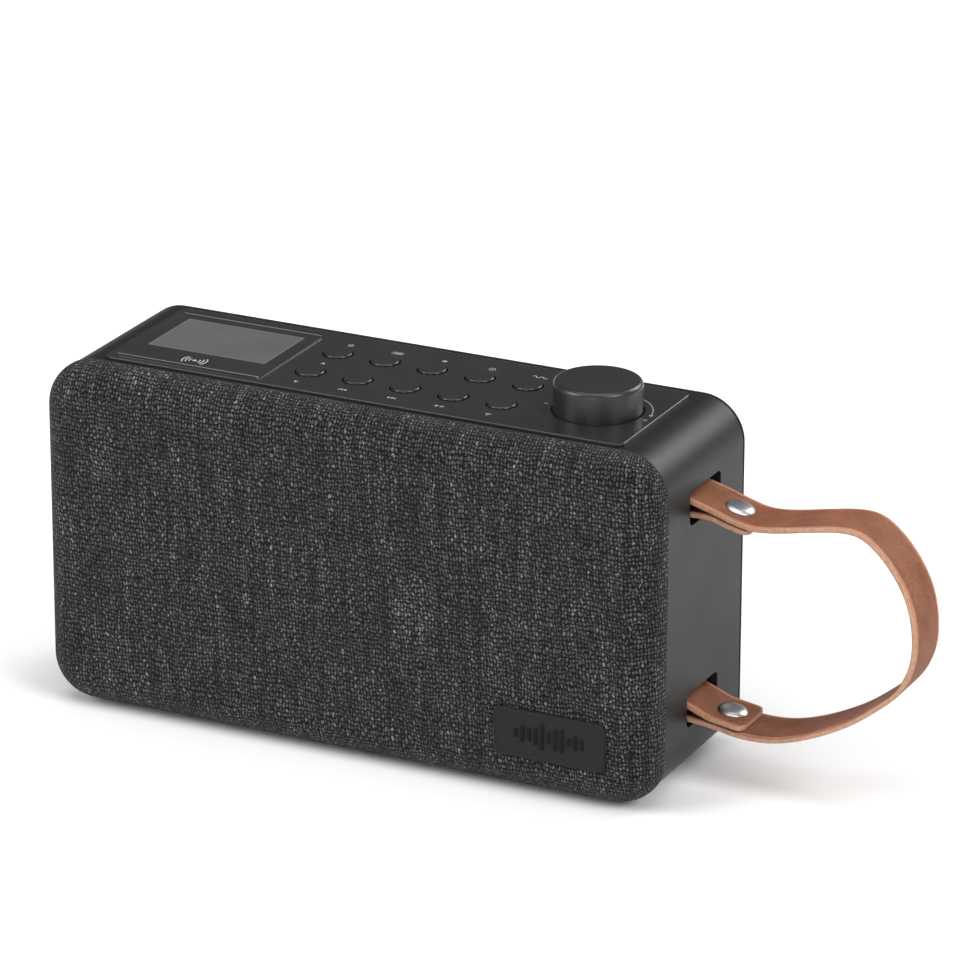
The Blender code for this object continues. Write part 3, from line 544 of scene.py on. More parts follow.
# ---- Fabric front ----
def make_cloth():
    """Rings from the tucked rear hem over the rounded edge, closed by one flat face."""
    low = Vector((CLOTH_LOW.x, CLOTH_LOW.z))
    high = Vector((CLOTH_HIGH.x, CLOTH_HIGH.z))
    front_y, back_y = CLOTH_LOW.y, CLOTH_HIGH.y
    steps = 28
    # Each row: inset from the outline, y, and the cloth's length travelled from the rear edge.
    rows = [(2.0 * MM, back_y - 0.35 * MM, -2.0 * MM), (0.55 * MM, back_y, -0.5 * MM),
            (0.15 * MM, back_y - 0.15 * MM, 0.0), (0.0, back_y - 0.5 * MM, 0.35 * MM)]
    side = (back_y - front_y - CLOTH_ROUND) - 0.5 * MM
    for step in range(17):
        angle = math.radians(90 * step / 16)
        rows.append((CLOTH_ROUND * (1 - math.cos(angle)),
                     front_y + CLOTH_ROUND * (1 - math.sin(angle)),
                     0.35 * MM + side + CLOTH_ROUND * angle))
    reach = rows[-1][2]
    verts, weave = [], []
    flat = inset_outline(low, high, CLOTH_CORNER, CLOTH_ROUND, steps)
    for inset, y, travelled in rows:
        rim = inset_outline(low, high, CLOTH_CORNER, inset, steps)
        for index, ((u, v), (fu, fv)) in enumerate(zip(rim, flat)):
            around = math.radians(90 * (index // (steps + 1) + index % (steps + 1) / steps))
            out = reach - travelled
            verts.append((u, y, v))
            weave += [fu + out * math.cos(around), fv + out * math.sin(around), 0.0]
    size = len(verts) // len(rows)
    faces = ring_faces(len(rows), size)[:-2]
    faces.append(tuple(range((len(rows) - 1) * size, len(rows) * size)))
    cloth = piece("fabric_cover", verts, faces, CLOTH, 80,
                  ("weave", "FLOAT_VECTOR", "vector", weave), to_front=True)
    show(cloth, "cabinet", "woven_fabric", "grille_fabric")


def make_badge():
    """Rubber plate with a softened rim and a raised row of sound-level bars."""
    low = Vector((BADGE_LOW.x, BADGE_LOW.z))
    high = Vector((BADGE_HIGH.x, BADGE_HIGH.z))
    field_y = BADGE_LOW.y + BADGE_FIELD
    rows = [(0.0, BADGE_HIGH.y)]
    rows += [(inset, BADGE_LOW.y + back) for inset, back in fillet(BADGE_EDGE)]
    rows += [(0.9 * MM, BADGE_LOW.y), (1.0 * MM, field_y), (1.2 * MM, field_y)]
    rings = [facing_y(inset_outline(low, high, BADGE_CORNER, inset, 10), y) for inset, y in rows]
    show(lofted("badge_plate", rings, RUBBER, angle=60), "cabinet", "rubber", "badge")
    centre = (low + high) / 2 + Vector((0, 0.3 * MM))
    count = 11
    for index in range(count):
        swing = abs(math.sin(index * 1.1 + 0.5)) * math.sin(math.pi * (index + 1) / (count + 1))
        half = (1.1 + 3.6 * swing) * MM
        x = centre.x + (index - (count - 1) / 2) * 2.3 * MM
        rings = []
        for inset, y in ((0.0, 0.1 * MM), (0.0, -0.2 * MM), (0.15 * MM, -0.32 * MM)):
            outline = rounded_outline((x - 0.7 * MM + inset, centre.y - half + inset),
                                      (x + 0.7 * MM - inset, centre.y + half - inset),
                                      0.68 * MM - inset, 6)
            rings.append(facing_y(outline, field_y + y))
        bar = lofted("badge_bar_%d" % (index + 1), rings, MARK, angle=50)
        show(bar, "cabinet", "rubber")


# ---- Cabinet ----
def body_outline(inset, steps=24):
    low = (SHELL_LOW.x + inset, SHELL_LOW.z + inset)
    high = (SHELL_HIGH.x - inset, SHELL_HIGH.z - inset)
    return rounded_outline(low, high, BODY_CORNER - inset, steps)


def make_cabinet():
    front, rear = SHELL_LOW.y, SHELL_HIGH.y
    edge = 0.35 * MM
    rings = [(edge, front), (0.0, front + edge), (0.0, rear - edge), (edge, rear), (WALL, rear),
             (WALL, front)]
    shell = lofted("cabinet_sleeve", [facing_y(body_outline(i), y) for i, y in rings], CABINET,
                   closed=True)
    cutters = []
    for level, bar in BARS.items():
        outline = centred_outline(bar.y, bar.z, SLOT_HALF_Y, SLOT_HALF_Z, SLOT_CORNER, 10)
        cutters.append(prism("slot_" + level, outline, facing_x, SHELL_HIGH.x - WALL - CLEAR,
                             SHELL_HIGH.x + CLEAR))
    ledge = 3.7 * MM
    outline = rounded_outline((PANEL_LOW.x + ledge, PANEL_LOW.y + ledge),
                              (PANEL_HIGH.x - ledge, PANEL_HIGH.y - ledge), 1.2 * MM, 4)
    cutters.append(prism("panel_opening", outline, facing_z, SHELL_HIGH.z - WALL - CLEAR,
                         SHELL_HIGH.z + CLEAR))
    cut(shell, *cutters)
    soften(shell, 0.3 * MM, 2, 60.0)
    show(shell, "cabinet", "cabinet_plastic", "cabinet_shell")
    for level, bar in BARS.items():
        for number, side in enumerate((-1, 1), start=1):
            near = bar.y + side * 12.3 * MM
            far = near + side * 4.0 * MM
            outline = rounded_outline(
                (bar.x - 4.2 * MM, bar.z - 5 * MM),
                (SHELL_HIGH.x - WALL - 0.05 * MM, bar.z + 5 * MM), 1.0 * MM, 4)
            rib = prism("bar_rib_%s_%d" % (level, number), outline, facing_y, near, far)
            show(rib, "cabinet", "cabinet_plastic")


def make_rear():
    rear = COVER_HIGH.y
    seam = SHELL_HIGH.y + 0.3 * MM
    lip = WALL + 0.3 * MM
    rings = [facing_y(body_outline(lip), COVER_LOW.y), facing_y(body_outline(lip), seam),
             facing_y(body_outline(0.3 * MM), seam), facing_y(body_outline(0.0), seam + 0.2 * MM)]
    for inset, back in fillet(1.2 * MM, 6):
        rings.append(facing_y(body_outline(inset), rear - back))
    cover = lofted("rear_panel", rings, CABINET)
    cutters = []
    for node in SCREWS:
        centre = middle(node)
        at = (centre.x, rear, centre.z)
        cutters.append(peg("hole", 1.7 * MM, -6 * MM, 1 * MM, at, "Y"))
        cutters.append(peg("seat", 3.2 * MM, -1.8 * MM, 1 * MM, at, "Y"))
    for node in JACKS:
        centre = middle(node)
        cutters.append(peg("hole", 3.8 * MM, -6 * MM, 1 * MM, (centre.x, rear, centre.z), "Y"))
    usb_low, usb_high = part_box("usb_port")
    gap = 0.4 * MM
    outline = rounded_outline((usb_low.x - gap, usb_low.z - gap),
                              (usb_high.x + gap, usb_high.z + gap), 2.2 * MM, 8)
    cutters.append(prism("hole", outline, facing_y, rear - 6 * MM, rear + 1 * MM))
    cut(cover, *cutters)
    soften(cover, 0.2 * MM, 2, 60.0)
    show(cover, "cabinet", "cabinet_plastic", "rear_cover")
    for node in SCREWS:
        make_screw(node, rear)
    make_sockets()


def make_screw(node, rear):
    """Pan head with a cross recess, sunk in its seat."""
    centre = middle(node)
    profile = [(0.4, -0.08), (1.6, -0.12), (2.4, -0.3), (2.8, -0.7), (2.8, -1.5), (1.3, -1.5),
               (1.3, -12.6), (0.3, -13.0)]
    at = (centre.x, rear, centre.z)
    screw = turned("visible_" + node, in_mm(profile), at, STEEL, "Y", 40)
    arms = []
    for width, depth in ((1.75 * MM, 0.28 * MM), (0.28 * MM, 1.75 * MM)):
        outline = centred_outline(at[0], at[2], width, depth, 0.1 * MM, 2)
        arms.append(prism("arm", outline, facing_y, rear - 0.9 * MM, rear + 1 * MM, STEEL))
    cut(screw, *arms)
    show(smooth(screw), "cabinet", "steel", node)


def make_sockets():
    """Two jack collars with metal lips, and the charging socket with its tongue."""
    for node in JACKS:
        low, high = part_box(node)
        at = ((low.x + high.x) / 2, high.y, (low.z + high.z) / 2)
        depth = (high.y - low.y) / MM
        profile = [(1.8, -depth + 1), (1.8, -0.25), (2.05, 0.0), (3.15, 0.0), (3.4, -0.25),
                   (3.4, -depth), (0.2, -depth)]
        collar = turned("visible_" + node, in_mm(profile), at, GLOSS, "Y", 48)
        show(collar, "cabinet", "panel_plastic", node)
        ring = [(1.82, -0.6), (1.82, -0.12), (2.3, -0.12), (2.3, 0.06), (1.65, 0.06), (1.5, -0.2),
                (1.5, -0.6)]
        lip = turned(node + "_lip", in_mm(ring), at, NICKEL, "Y", 48)
        show(lip, "cabinet", "steel")
    low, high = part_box("usb_port")

    def oval(inset, y):
        outline = rounded_outline((low.x + inset, low.z + inset), (high.x - inset, high.z - inset),
                                  1.8 * MM - inset, 8)
        return facing_y(outline, y)

    rings = [oval(0.4 * MM, high.y - 5.6 * MM), oval(0.4 * MM, high.y - 0.2 * MM),
             oval(0.2 * MM, high.y), oval(0.1 * MM, high.y), oval(0.0, high.y - 0.1 * MM),
             oval(0.0, low.y)]
    show(lofted("visible_usb_port", rings, STEEL), "cabinet", "steel", "usb_port")
    tongue_low = (low.x + 2.2 * MM, (low.z + high.z) / 2 - 0.35 * MM)
    tongue_high = (high.x - 2.2 * MM, (low.z + high.z) / 2 + 0.35 * MM)
    outline = rounded_outline(tongue_low, tongue_high, 0.2 * MM, 3)
    tongue = prism("usb_tongue", outline, facing_y, high.y - 5.5 * MM, high.y - 0.9 * MM, GLOSS)
    show(tongue, "cabinet", "panel_plastic")


# ---- Top panel ----
def make_panel():
    low, high = Vector(PANEL_LOW[:2]), Vector(PANEL_HIGH[:2])
    ledge = 4.0 * MM
    seat_z = SHELL_HIGH.z + 0.05 * MM

    def ring(inset, z, radius=None):
        grown = Vector((inset,) * 2)
        return facing_z(rounded_outline(low + grown, high - grown, radius or PANEL_CORNER - inset,
                                        12), z)

    rings = [ring(ledge, PANEL_LOW.z, 1.0 * MM), ring(ledge, seat_z, 1.0 * MM), ring(0.0, seat_z)]
    for inset, back in fillet(0.45 * MM, 4):
        rings.append(ring(inset, PANEL_Z - back))
    panel = lofted("control_panel", rings, PANEL)
    cutters = []
    for name in BUTTONS:
        centre = middle(name)
        cutters.append(peg("hole", BUTTON_HOLE_R, -9 * MM, 3 * MM, (centre.x, centre.y, PANEL_Z)))
    knob = middle("volume_knob")
    cutters.append(peg("hole", 4.6 * MM, -9 * MM, 3 * MM, (knob.x, knob.y, PANEL_Z)))
    cutters.append(peg("well", WELL_R, -WELL_DEPTH, 3 * MM, (knob.x, knob.y, PANEL_Z), steps=128))
    gap = Vector((0.15 * MM,) * 2)
    outline = rounded_outline(Vector(WINDOW_LOW[:2]) - gap, Vector(WINDOW_HIGH[:2]) + gap,
                              WINDOW_CORNER, 6)
    cutters.append(prism("pocket", outline, facing_z, WINDOW_LOW.z - 0.3 * MM, PANEL_Z + CLEAR,
                         PANEL))
    cut(panel, *cutters)
    soften(panel, 0.14 * MM, 2, 60.0)
    show(panel, "cabinet", "panel_plastic", "top_panel")


def make_window():
    low, high = Vector(WINDOW_LOW[:2]), Vector(WINDOW_HIGH[:2])
    top = WINDOW_HIGH.z
    rows = ((0.0, WINDOW_LOW.z), (0.0, top - 0.15 * MM), (0.04 * MM, top - 0.04 * MM),
            (0.15 * MM, top))
    rings = [facing_z(inset_outline(low, high, WINDOW_CORNER, inset, 8), z) for inset, z in rows]
    window = lofted("display_cover", rings, GLASS, angle=20)
    show(window, "cabinet", "window_acrylic", "display_window")


def make_buttons():
    """Shallow dished caps; the flange and stem below the panel are kept."""
    for name in BUTTONS:
        low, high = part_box(name)
        at = ((low.x + high.x) / 2, (low.y + high.y) / 2, high.z)
        under = PANEL_LOW.z - 0.3 * MM - high.z
        dish = [(0.3 * MM, -0.12 * MM), (2.2 * MM, -0.09 * MM), (3.4 * MM, -0.03 * MM)]
        stem = [(BUTTON_R, under), (BUTTON_R + 1.4 * MM, under),
                (BUTTON_R + 1.4 * MM, under - 1.2 * MM), (1.6 * MM, under - 1.2 * MM),
                (1.6 * MM, low.z - high.z), (0.2 * MM, low.z - high.z)]
        rim = round_over(BUTTON_R, 0.0, BUTTON_EDGE, (90, 70, 50, 30, 10, 0))
        cap = turned("cap_" + name[7:], dish + rim + stem, at, PANEL, steps=48, angle=50)
        show(cap, name, "panel_plastic", name)


def make_knob():
    low, high = KNOB_LOW, KNOB_HIGH
    radius = (high.x - low.x) / 2
    at = ((low.x + high.x) / 2, (low.y + high.y) / 2, 0.0)
    top, skirt = high.z, low.z
    profile = [(0.3 * MM, top - 0.1 * MM), (radius * 0.6, top - 0.06 * MM),
               (radius - KNOB_EDGE - 0.3 * MM, top)]
    profile += round_over(radius, top, KNOB_EDGE, range(90, -1, -15))
    boss_end = PANEL_Z + 1.8 * MM
    profile += [(radius, top - KNOB_EDGE - 0.2 * MM), (radius, skirt + 0.2 * MM),
                (radius - 0.2 * MM, skirt),
                (radius - 1.5 * MM, skirt), (radius - 1.5 * MM, top - 2.8 * MM),
                (5.4 * MM, top - 2.8 * MM), (5.4 * MM, boss_end), (3.3 * MM, boss_end),
                (3.3 * MM, top - 1.7 * MM), (0.3 * MM, top - 1.7 * MM)]
    knob = turned("knob_cap", profile, at, KNOB, steps=128, angle=40)
    show(knob, "volume_knob", "panel_plastic", "volume_knob")


class Print:
    """Flat printed marks, gathered into one thin piece."""

    def __init__(self, z, thickness=0.035 * MM):
        self.z, self.t = z, thickness
        self.verts, self.faces = [], []

    def shape(self, outline):
        start, size = len(self.verts), len(outline)
        for z in (self.z, self.z + self.t):
            self.verts += [(x, y, z) for x, y in outline]
        self.faces += [tuple(start + i for i in face) for face in ring_faces(2, size)]

    def bar(self, x, y, width, height):
        self.shape([(x - width / 2, y - height / 2), (x + width / 2, y - height / 2),
                    (x + width / 2, y + height / 2), (x - width / 2, y + height / 2)])

    def dot(self, x, y, radius, steps=20):
        self.shape([(x + radius * math.cos(2 * math.pi * i / steps),
                     y + radius * math.sin(2 * math.pi * i / steps)) for i in range(steps)])

    def arc(self, x, y, radius, width, start, end, steps=24):
        outline = []
        for side, order in ((width / 2, range(steps + 1)), (-width / 2, range(steps, -1, -1))):
            for i in order:
                angle = math.radians(start + (end - start) * i / steps)
                outline.append((x + (radius + side) * math.cos(angle),
                                y + (radius + side) * math.sin(angle)))
        self.shape(outline)

    def triangle(self, x, y, size, turn):
        """Points along the turn angle in degrees."""
        outline = []
        for corner in (0, 125, 235):
            angle = math.radians(turn + corner)
            outline.append((x + size * math.cos(angle), y + size * math.sin(angle)))
        self.shape(outline)

    def piece(self, name):
        return piece(name, self.verts, self.faces, INK)


def make_marks():
    marks = Print(PANEL_Z + 0.005 * MM)
    line = 0.3 * MM
    above, below = 9.0 * MM, -10.2 * MM
    at = {name[7:]: middle(name) for name in BUTTONS}

    def spot(name, side):
        return at[name].x, at[name].y + side

    x, y = spot("power", above)
    marks.arc(x, y, 0.8 * MM, line, 125, 415)
    marks.bar(x, y + 0.6 * MM, line, 1.0 * MM)
    x, y = spot("menu", above)
    for row in (-1, 0, 1):
        marks.dot(x - 1.7 * MM, y + row * 0.75 * MM, 0.2 * MM, 12)
        marks.bar(x + 0.4 * MM, y + row * 0.75 * MM, 3.2 * MM, line)
    x, y = spot("preset", above)
    points = []
    for tip in range(10):
        radius = (1.15 if tip % 2 == 0 else 0.48) * MM
        angle = math.radians(90 + 36 * tip)
        points.append((x + radius * math.cos(angle), y + radius * math.sin(angle)))
    marks.shape(points)
    x, y = spot("info", above)
    marks.arc(x, y, 1.05 * MM, 0.22 * MM, 0, 359)
    marks.dot(x, y, 0.3 * MM, 12)
    x, y = spot("band", above)
    for step, (start, end) in enumerate(((180, 0), (180, 360), (180, 0), (180, 360))):
        marks.arc(x + (step - 1.5) * 1.3 * MM, y, 0.65 * MM, line, start, end, 12)
    x, y = spot("station", above - 0.2 * MM)
    marks.triangle(x, y, 0.95 * MM, 90)
    x, y = spot("station", below)
    marks.triangle(x, y, 0.95 * MM, -90)
    for name, way in (("previous", -1), ("next", 1)):
        x, y = spot(name, below)
        for step in (-0.75, 0.55):
            marks.triangle(x + way * step * MM, y, 0.78 * MM, 0 if way > 0 else 180)
        marks.bar(x + way * 1.5 * MM, y, line, 1.3 * MM)
    x, y = spot("play", below)
    marks.triangle(x - 0.85 * MM, y, 0.9 * MM, 0)
    for step in (0.65, 1.35):
        marks.bar(x + step * MM, y, line, 1.4 * MM)
    x, y = spot("pairing", below)
    marks.dot(x, y - 0.6 * MM, 0.24 * MM, 12)
    for radius in (0.8, 1.45):
        marks.arc(x, y - 0.6 * MM, radius * MM, 0.26 * MM, 45, 135, 12)
    # Volume: an arc behind the knob with an arrowhead, and minus and plus at its ends.
    knob = middle("volume_knob")
    marks.arc(knob.x, knob.y, ARC_R, line, 12, 168, 72)
    tip = math.radians(8)
    marks.triangle(knob.x + ARC_R * math.cos(tip), knob.y + ARC_R * math.sin(tip), 1.0 * MM, -82)
    for side in (-1, 1):
        marks.bar(knob.x + side * SIGN_X, knob.y - SIGN_Y, 1.5 * MM, line)
    marks.bar(knob.x + SIGN_X, knob.y - SIGN_Y, line, 1.5 * MM)
    show(marks.piece("panel_print"), "cabinet", "panel_plastic")
    # A broadcast mark on the display window: a mast dot with waves on both sides.
    badge = Print(WINDOW_HIGH.z + 0.005 * MM)
    x = (LCD_LOW.x + LCD_HIGH.x) / 2 - 0.2 * MM
    y = (WINDOW_LOW.y + LCD_LOW.y) / 2 - 0.6 * MM
    badge.dot(x, y, 0.75 * MM)
    for side in (0, 180):
        for radius in (1.8, 3.0, 4.2):
            badge.arc(x, y, radius * MM, 0.5 * MM, side - 38, side + 38, 16)
    show(badge.piece("window_print"), "cabinet", "window_acrylic")


# ---- Strap ----
STRAP_MID_Y = (STRAP_LOW.y + STRAP_HIGH.y) / 2
STRAP_HALF = (STRAP_HIGH.y - STRAP_LOW.y) / 2
LIFT = 1.0                          # mm from the floor to the cabinet's underside
LAYER = STRAP_T + 0.35 * MM


def flat_points(points):
    return [Vector((x * MM, (z + LIFT) * MM)) for x, z in points]


# Middle of the band from the upper tail round to the lower: x and height over the underside.
LOOP = flat_points([
    (114.0, 94.3), (120.9, 92.1), (128.3, 90.4), (137.0, 91.1), (148.0, 93.3), (158.0, 95.0),
    (165.5, 94.5), (172.0, 90.2), (178.0, 83.2), (182.6, 74.5), (184.7, 64.5), (184.3, 54.5),
    (180.4, 45.3), (174.0, 38.8), (163.0, 30.4), (150.0, 23.7), (138.0, 19.9), (127.0, 19.3),
    (119.4, 20.5), (112.0, 21.6)])
UPPER_TAIL = [point - Vector((0.25, 0.97)) * LAYER for point in (LOOP[2], LOOP[1], LOOP[0])]
LOWER_TAIL = [point + Vector((0.12, 0.99)) * LAYER
              for point in (LOOP[-1].lerp(LOOP[-2], 0.35), LOOP[-2], LOOP[-3])]


def smooth_path(points, per_span):
    """Catmull-Rom curve through the points."""
    ends = [2 * points[0] - points[1]] + points + [2 * points[-1] - points[-2]]
    path = []
    for a, b, c, d in zip(ends, ends[1:], ends[2:], ends[3:]):
        for step in range(per_span):
            t = step / per_span
            path.append(0.5 * (2 * b + (c - a) * t + (2 * a - 5 * b + 4 * c - d) * t ** 2
                               + (3 * b - 3 * c + d - a) * t ** 3))
    return path + [points[-1]]


def wrap(bar, start, end, steps=20):
    radius = BAR_R + 0.3 * MM + STRAP_T / 2
    for step in range(steps + 1):
        angle = math.radians(start + (end - start) * step / steps)
        yield Vector((bar.x + radius * math.cos(angle), bar.z + radius * math.sin(angle)))


def relaxed(path, rounds):
    """Evens out small kinks; the ends stay."""
    for _ in range(rounds):
        path = [path[0]] + [(a + 2 * b + c) / 4 for a, b, c in zip(path, path[1:], path[2:])
                            ] + [path[-1]]
    return path


def strap_path():
    first = smooth_path(UPPER_TAIL, 8) + list(wrap(BARS["upper"], -84, -285))
    loop = smooth_path(LOOP, 8)
    last = list(wrap(BARS["lower"], -92, -290)) + smooth_path(LOWER_TAIL, 8)
    return relaxed(first + loop + last, 3)


def strap_section(half_width, half_thick, rounding):
    """Cross-section points as (across, out, edge share)."""
    points = []
    for corner in range(4):
        sign_u = 1 if corner in (0, 3) else -1
        sign_v = 1 if corner in (0, 1) else -1
        for step in range(5):
            angle = math.radians(90 * corner + 90 * step / 4)
            u = sign_u * (half_width - rounding) + rounding * math.cos(angle)
            v = sign_v * (half_thick - rounding) + rounding * math.sin(angle)
            points.append((u, v, min(1.0, max(0.0, abs(math.cos(angle)) * 1.6 - 0.25))))
    inner = half_width - 1.4 * MM
    # Known fault: both rows run against the outline, and the second starts inside a corner, so
    # the flat sides fold over themselves.
    for start, out, way in ((5, half_thick, 1), (15, -half_thick, -1)):
        points[start:start] = [(way * u, out, 0.0) for u in (-inner, 0.0, inner)]
    return points


def make_strap():
    path = strap_path()
    total = len(path)
    travelled = [0.0]
    for a, b in zip(path, path[1:]):
        travelled.append(travelled[-1] + (b - a).length)
    length = travelled[-1]
    tip = 2.4 * MM
    verts, edge, size = [], [], 0
    for index, (point, at) in enumerate(zip(path, travelled)):
        step = path[min(index + 1, total - 1)] - path[max(index - 1, 0)]
        normal = Vector((-step.y, step.x)).normalized()
        short = max(tip - min(at, length - at), 0.0)      # nearer an end than the tip's radius
        trim = tip - math.sqrt(max(tip ** 2 - short ** 2, 0.0)) if short > 0.0 else 0.0
        section = strap_section(STRAP_HALF - trim, STRAP_T / 2, 0.45 * MM)
        size = len(section)
        for across, out, share in section:
            spot = point + normal * out
            verts.append((spot.x, STRAP_MID_Y + across, spot.y))
            edge.append(1.0 if index in (0, total - 1) else share)
    strap = piece("leather_strap", verts, ring_faces(total, size), LEATHER, 60,
                  ("edge", "FLOAT", "value", edge))
    show(strap, "handle_strap", "leather", "handle_strap")


def make_rivets():
    half = STRAP_T + 0.175 * MM
    dome = [(0.2, 1.3), (1.4, 1.27), (2.6, 1.17), (3.5, 1.0), (4.1, 0.78), (4.6, 0.48),
            (4.9, 0.18), (4.9, 0.0)]
    back = [(1.6, 0.0), (1.6, -1.0), (4.1, -1.0), (4.2, -1.2), (3.7, -1.55), (2.4, -1.75),
            (0.2, -1.8)]
    for name, index, tail, flip in (("upper", 1, UPPER_TAIL[1], 0.0),
                                    ("lower", len(LOOP) - 2, LOWER_TAIL[1], math.pi)):
        centre = (LOOP[index] + tail) / 2
        step = LOOP[index + 1] - LOOP[index - 1]
        slope = math.atan2(step.y, step.x) + flip
        turn = Matrix.Rotation(-slope, 3, "Y")
        profile = [(r * MM, h * MM + half + 0.05 * MM) for r, h in dome]
        profile += [(r * MM, h * MM - half + 1.0 * MM) for r, h in back]
        profile[len(dome)] = (1.6 * MM, half + 0.05 * MM)
        rivet = turned("rivet_cap_" + name, profile, (centre.x, STRAP_MID_Y, centre.y), NICKEL,
                       steps=64, turn=turn, angle=40)
        show(rivet, "handle_strap", "nickel", "rivet_" + name)


# ---- Antenna ----
def make_antenna():
    hinge = middle("antenna_pin")
    tube_low, tube_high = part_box("antenna_tube")
    radius = (tube_high.z - tube_low.z) / 2
    root = hinge.x - 5.8 * MM
    bore = radius - 0.4 * MM
    at = (0.0, hinge.y, hinge.z)
    tube = turned("antenna_outer", [
        (0.5 * MM, root), (radius - 0.5 * MM, root), (radius, root - 0.4 * MM),
        (radius, tube_low.x + 0.2 * MM), (radius - 0.15 * MM, tube_low.x), (bore, tube_low.x),
        (bore, root - 3 * MM), (0.5 * MM, root - 3 * MM)], at, CHROME, "X", 48)
    outline = rounded_outline((hinge.x - 7.0 * MM, hinge.y - 2.8 * MM),
                              (hinge.x + 2.8 * MM, hinge.y + 2.8 * MM), 2.7 * MM, 10)
    eye = prism("antenna_eye", outline, facing_z, hinge.z - 1.7 * MM, hinge.z + 1.7 * MM, CHROME)
    cut(eye, peg("bore", 1.3 * MM, -4 * MM, 4 * MM, hinge))
    show(soften(eye, 0.2 * MM, 2), "antenna_tube", "antenna_chrome")
    show(tube, "antenna_tube", "antenna_chrome", "antenna_tube")
    low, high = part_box("antenna_middle")
    r_mid = (high.z - low.z) / 2
    inner = r_mid - 0.5 * MM
    # The end's chamfer is at 45 degrees, so that its edge stays sharp and the long side's
    # shading doesn't tilt.
    section = turned("antenna_second", [
        (inner, high.x), (r_mid, high.x), (r_mid, low.x + 0.1 * MM), (r_mid - 0.1 * MM, low.x),
        (inner, low.x)], at, CHROME, "X", 40)
    show(section, "antenna_middle", "antenna_chrome", "antenna_middle")
    low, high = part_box("antenna_rod")
    r_rod = (high.z - low.z) / 2
    rod = turned("antenna_third", [(r_rod, high.x), (r_rod, low.x)], at, CHROME, "X", 32)
    show(rod, "antenna_tip", "antenna_chrome", "antenna_rod")
    low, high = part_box("antenna_tip")
    r_tip = (high.z - low.z) / 2
    cap = [(0.4 * MM, high.x), (r_tip - 0.6 * MM, high.x), (r_tip, high.x - 0.6 * MM),
           (r_tip, low.x + 1.0 * MM), (r_tip - 0.4 * MM, low.x + 0.35 * MM),
           (r_tip - 1.2 * MM, low.x), (0.4 * MM, low.x)]
    show(turned("antenna_cap", cap, at, CHROME, "X", 48), "antenna_tip", "antenna_chrome",
         "antenna_tip")
    make_swivel(hinge)


def make_swivel(hinge):
    """Collar with a fork for the rod's eye, on a stud through the bracket."""
    low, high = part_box("antenna_swivel")
    radius = (high.z - low.z) / 2
    at = (0.0, hinge.y, hinge.z)
    swivel = turned("antenna_knuckle", [
        (0.4 * MM, low.x), (radius - 0.5 * MM, low.x), (radius, low.x + 0.5 * MM),
        (radius, hinge.x + 6.7 * MM), (radius - 0.5 * MM, hinge.x + 7.2 * MM),
        (2.0 * MM, hinge.x + 7.2 * MM), (2.0 * MM, high.x), (0.4 * MM, high.x)],
        at, CHROME, "X", 48)
    outline = rounded_outline((low.x - 1 * MM, hinge.y - 6 * MM), (hinge.x + 4.4 * MM,
                              hinge.y + 6 * MM), 0.8 * MM, 4)
    gap = prism("gap", outline, facing_z, hinge.z - 2 * MM, hinge.z + 2 * MM, CHROME)
    cut(swivel, gap, peg("bore", 1.25 * MM, -6 * MM, 6 * MM, hinge))
    show(smooth(swivel), "antenna_swivel", "antenna_chrome", "antenna_swivel")
    pin_low, pin_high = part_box("antenna_pin")
    pin = turned("antenna_hinge_pin", [
        (0.2 * MM, pin_low.z), (0.8 * MM, pin_low.z), (1.0 * MM, pin_low.z + 0.2 * MM),
        (1.0 * MM, pin_high.z - 0.2 * MM), (0.8 * MM, pin_high.z), (0.2 * MM, pin_high.z)],
        (hinge.x, hinge.y, 0.0), STEEL, "Z", 32)
    show(pin, "antenna_swivel", "steel", "antenna_pin")
    low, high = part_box("antenna_bracket")
    outline = rounded_outline((low.y, low.z), (high.y, high.z), 2.0 * MM, 8)
    lug = prism("antenna_lug", outline, facing_x, low.x, high.x, PANEL)
    cut(lug, peg("bore", 2.3 * MM, low.x - MM, high.x + MM, (0.0, hinge.y, hinge.z), "X"))
    show(soften(lug, 0.5 * MM, 3), "cabinet", "panel_plastic", "antenna_bracket")


# ---- CAD nodes that keep their shape ----
def finish_hidden_parts():
    finishes = {
        "front_baffle": CABINET, "base_pad": FOOT_RUBBER, "speaker_basket": STEEL,
        "speaker_magnet": FERRITE, "speaker_surround": FOOT_RUBBER, "speaker_cone": PAPER,
        "lcd_module": GLOSS, "key_board": BOARD, "encoder_body": STEEL, "encoder_shaft": STEEL,
        "main_board": BOARD, "battery_pack": WRAP, "strap_bar_upper": STEEL,
        "strap_bar_lower": STEEL}
    for name, material in finishes.items():
        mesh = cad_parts[name].data
        mesh.materials.clear()
        mesh.materials.append(material)


# ---- Stage ----
AZIMUTH, ELEVATION, ROLL = 26.17, 20.89, 0.126      # degrees
CAMERA_DISTANCE = 1.8247
CAMERA_TARGET = Vector((32.05 * MM, 0.85 * MM, 89.65 * MM))
FOCAL_MM, FRAME_MM = 213.5, 36.0
FLOOR_HALF = 6.0
FLOOR_DROP = 0.1 * MM               # keeps the floor clear of the base pad
WORLD_STRENGTH = 0.13
# Broad soft sources: name, azimuth from the front towards the strap, elevation and spread in
# degrees, strength.
SUNS = (("key_front_left", -48, 32, 32, 1.7), ("side_right", 72, 36, 32, 1.6),
        ("rim_behind", 155, 30, 30, 1.5), ("overhead", 0, 84, 60, 1.5),
        ("front_low", 10, 10, 30, 0.5))


def direction(azimuth, elevation):
    """Unit vector from the object; azimuth runs from the front towards the strap."""
    a, e = math.radians(azimuth), math.radians(elevation)
    return Vector((math.sin(a) * math.cos(e), -math.cos(a) * math.cos(e), math.sin(e)))


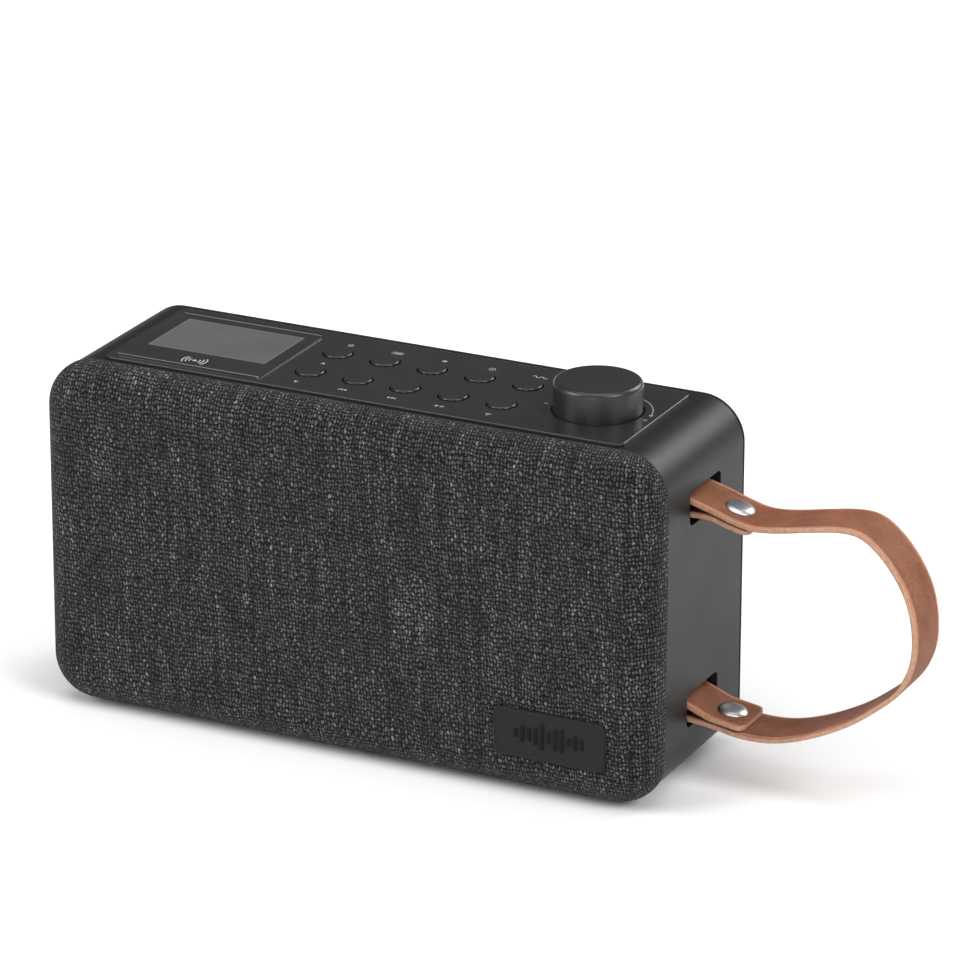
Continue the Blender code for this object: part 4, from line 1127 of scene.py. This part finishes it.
def make_camera():
    r = math.radians(ROLL)
    back = direction(AZIMUTH, ELEVATION)
    right = Vector((0, 0, 1)).cross(back).normalized()
    up = back.cross(right)
    tilted_right = math.cos(r) * right + math.sin(r) * up
    tilted_up = -math.sin(r) * right + math.cos(r) * up
    data = bpy.data.cameras.new("camera")
    data.lens = FOCAL_MM
    data.sensor_width = FRAME_MM
    camera = bpy.data.objects.new("camera", data)
    camera.matrix_world = Matrix.Translation(CAMERA_TARGET + CAMERA_DISTANCE * back) @ Matrix(
        (tilted_right, tilted_up, back)).transposed().to_4x4()
    bpy.context.scene.collection.objects.link(camera)
    bpy.context.scene.camera = camera


def soft_sun(name, azimuth, elevation, spread, strength):
    data = bpy.data.lights.new(name, "SUN")
    data.angle = math.radians(spread)
    data.energy = strength
    towards = direction(azimuth, elevation)
    light = bpy.data.objects.new(name, data)
    light.location = towards
    light.rotation_euler = towards.to_track_quat("Z", "Y").to_euler()
    bpy.context.scene.collection.objects.link(light)


def make_stage():
    finish = Finish("pale_floor", Roughness=0.9, Specular_IOR_Level=0.1)
    finish.colour(finish.ramp(finish.noise(finish.place(), 3.0), [
        (0.3, (0.93, 0.93, 0.93)), (0.7, (0.94, 0.94, 0.94))]))
    corners = [(x * FLOOR_HALF, y * FLOOR_HALF, 0)
               for x, y in ((-1, -1), (1, -1), (1, 1), (-1, 1))]
    floor = piece("floor", corners, [(0, 1, 2, 3)], finish.material)
    floor.location.z = -FLOOR_DROP
    world = bpy.data.worlds.new("studio")
    world.use_nodes = True
    background = world.node_tree.nodes["Background"]
    background.inputs[0].default_value = (1, 1, 1, 1)
    background.inputs[1].default_value = WORLD_STRENGTH
    bpy.context.scene.world = world
    for sun in SUNS:
        soft_sun(*sun)
    bpy.context.scene.view_settings.view_transform = "Standard"


def main():
    for make in (make_cloth, make_badge, make_cabinet, make_rear, make_panel, make_window,
                 make_buttons, make_knob, make_marks, make_strap, make_rivets, make_antenna,
                 finish_hidden_parts, make_camera, make_stage):
        make()


main()
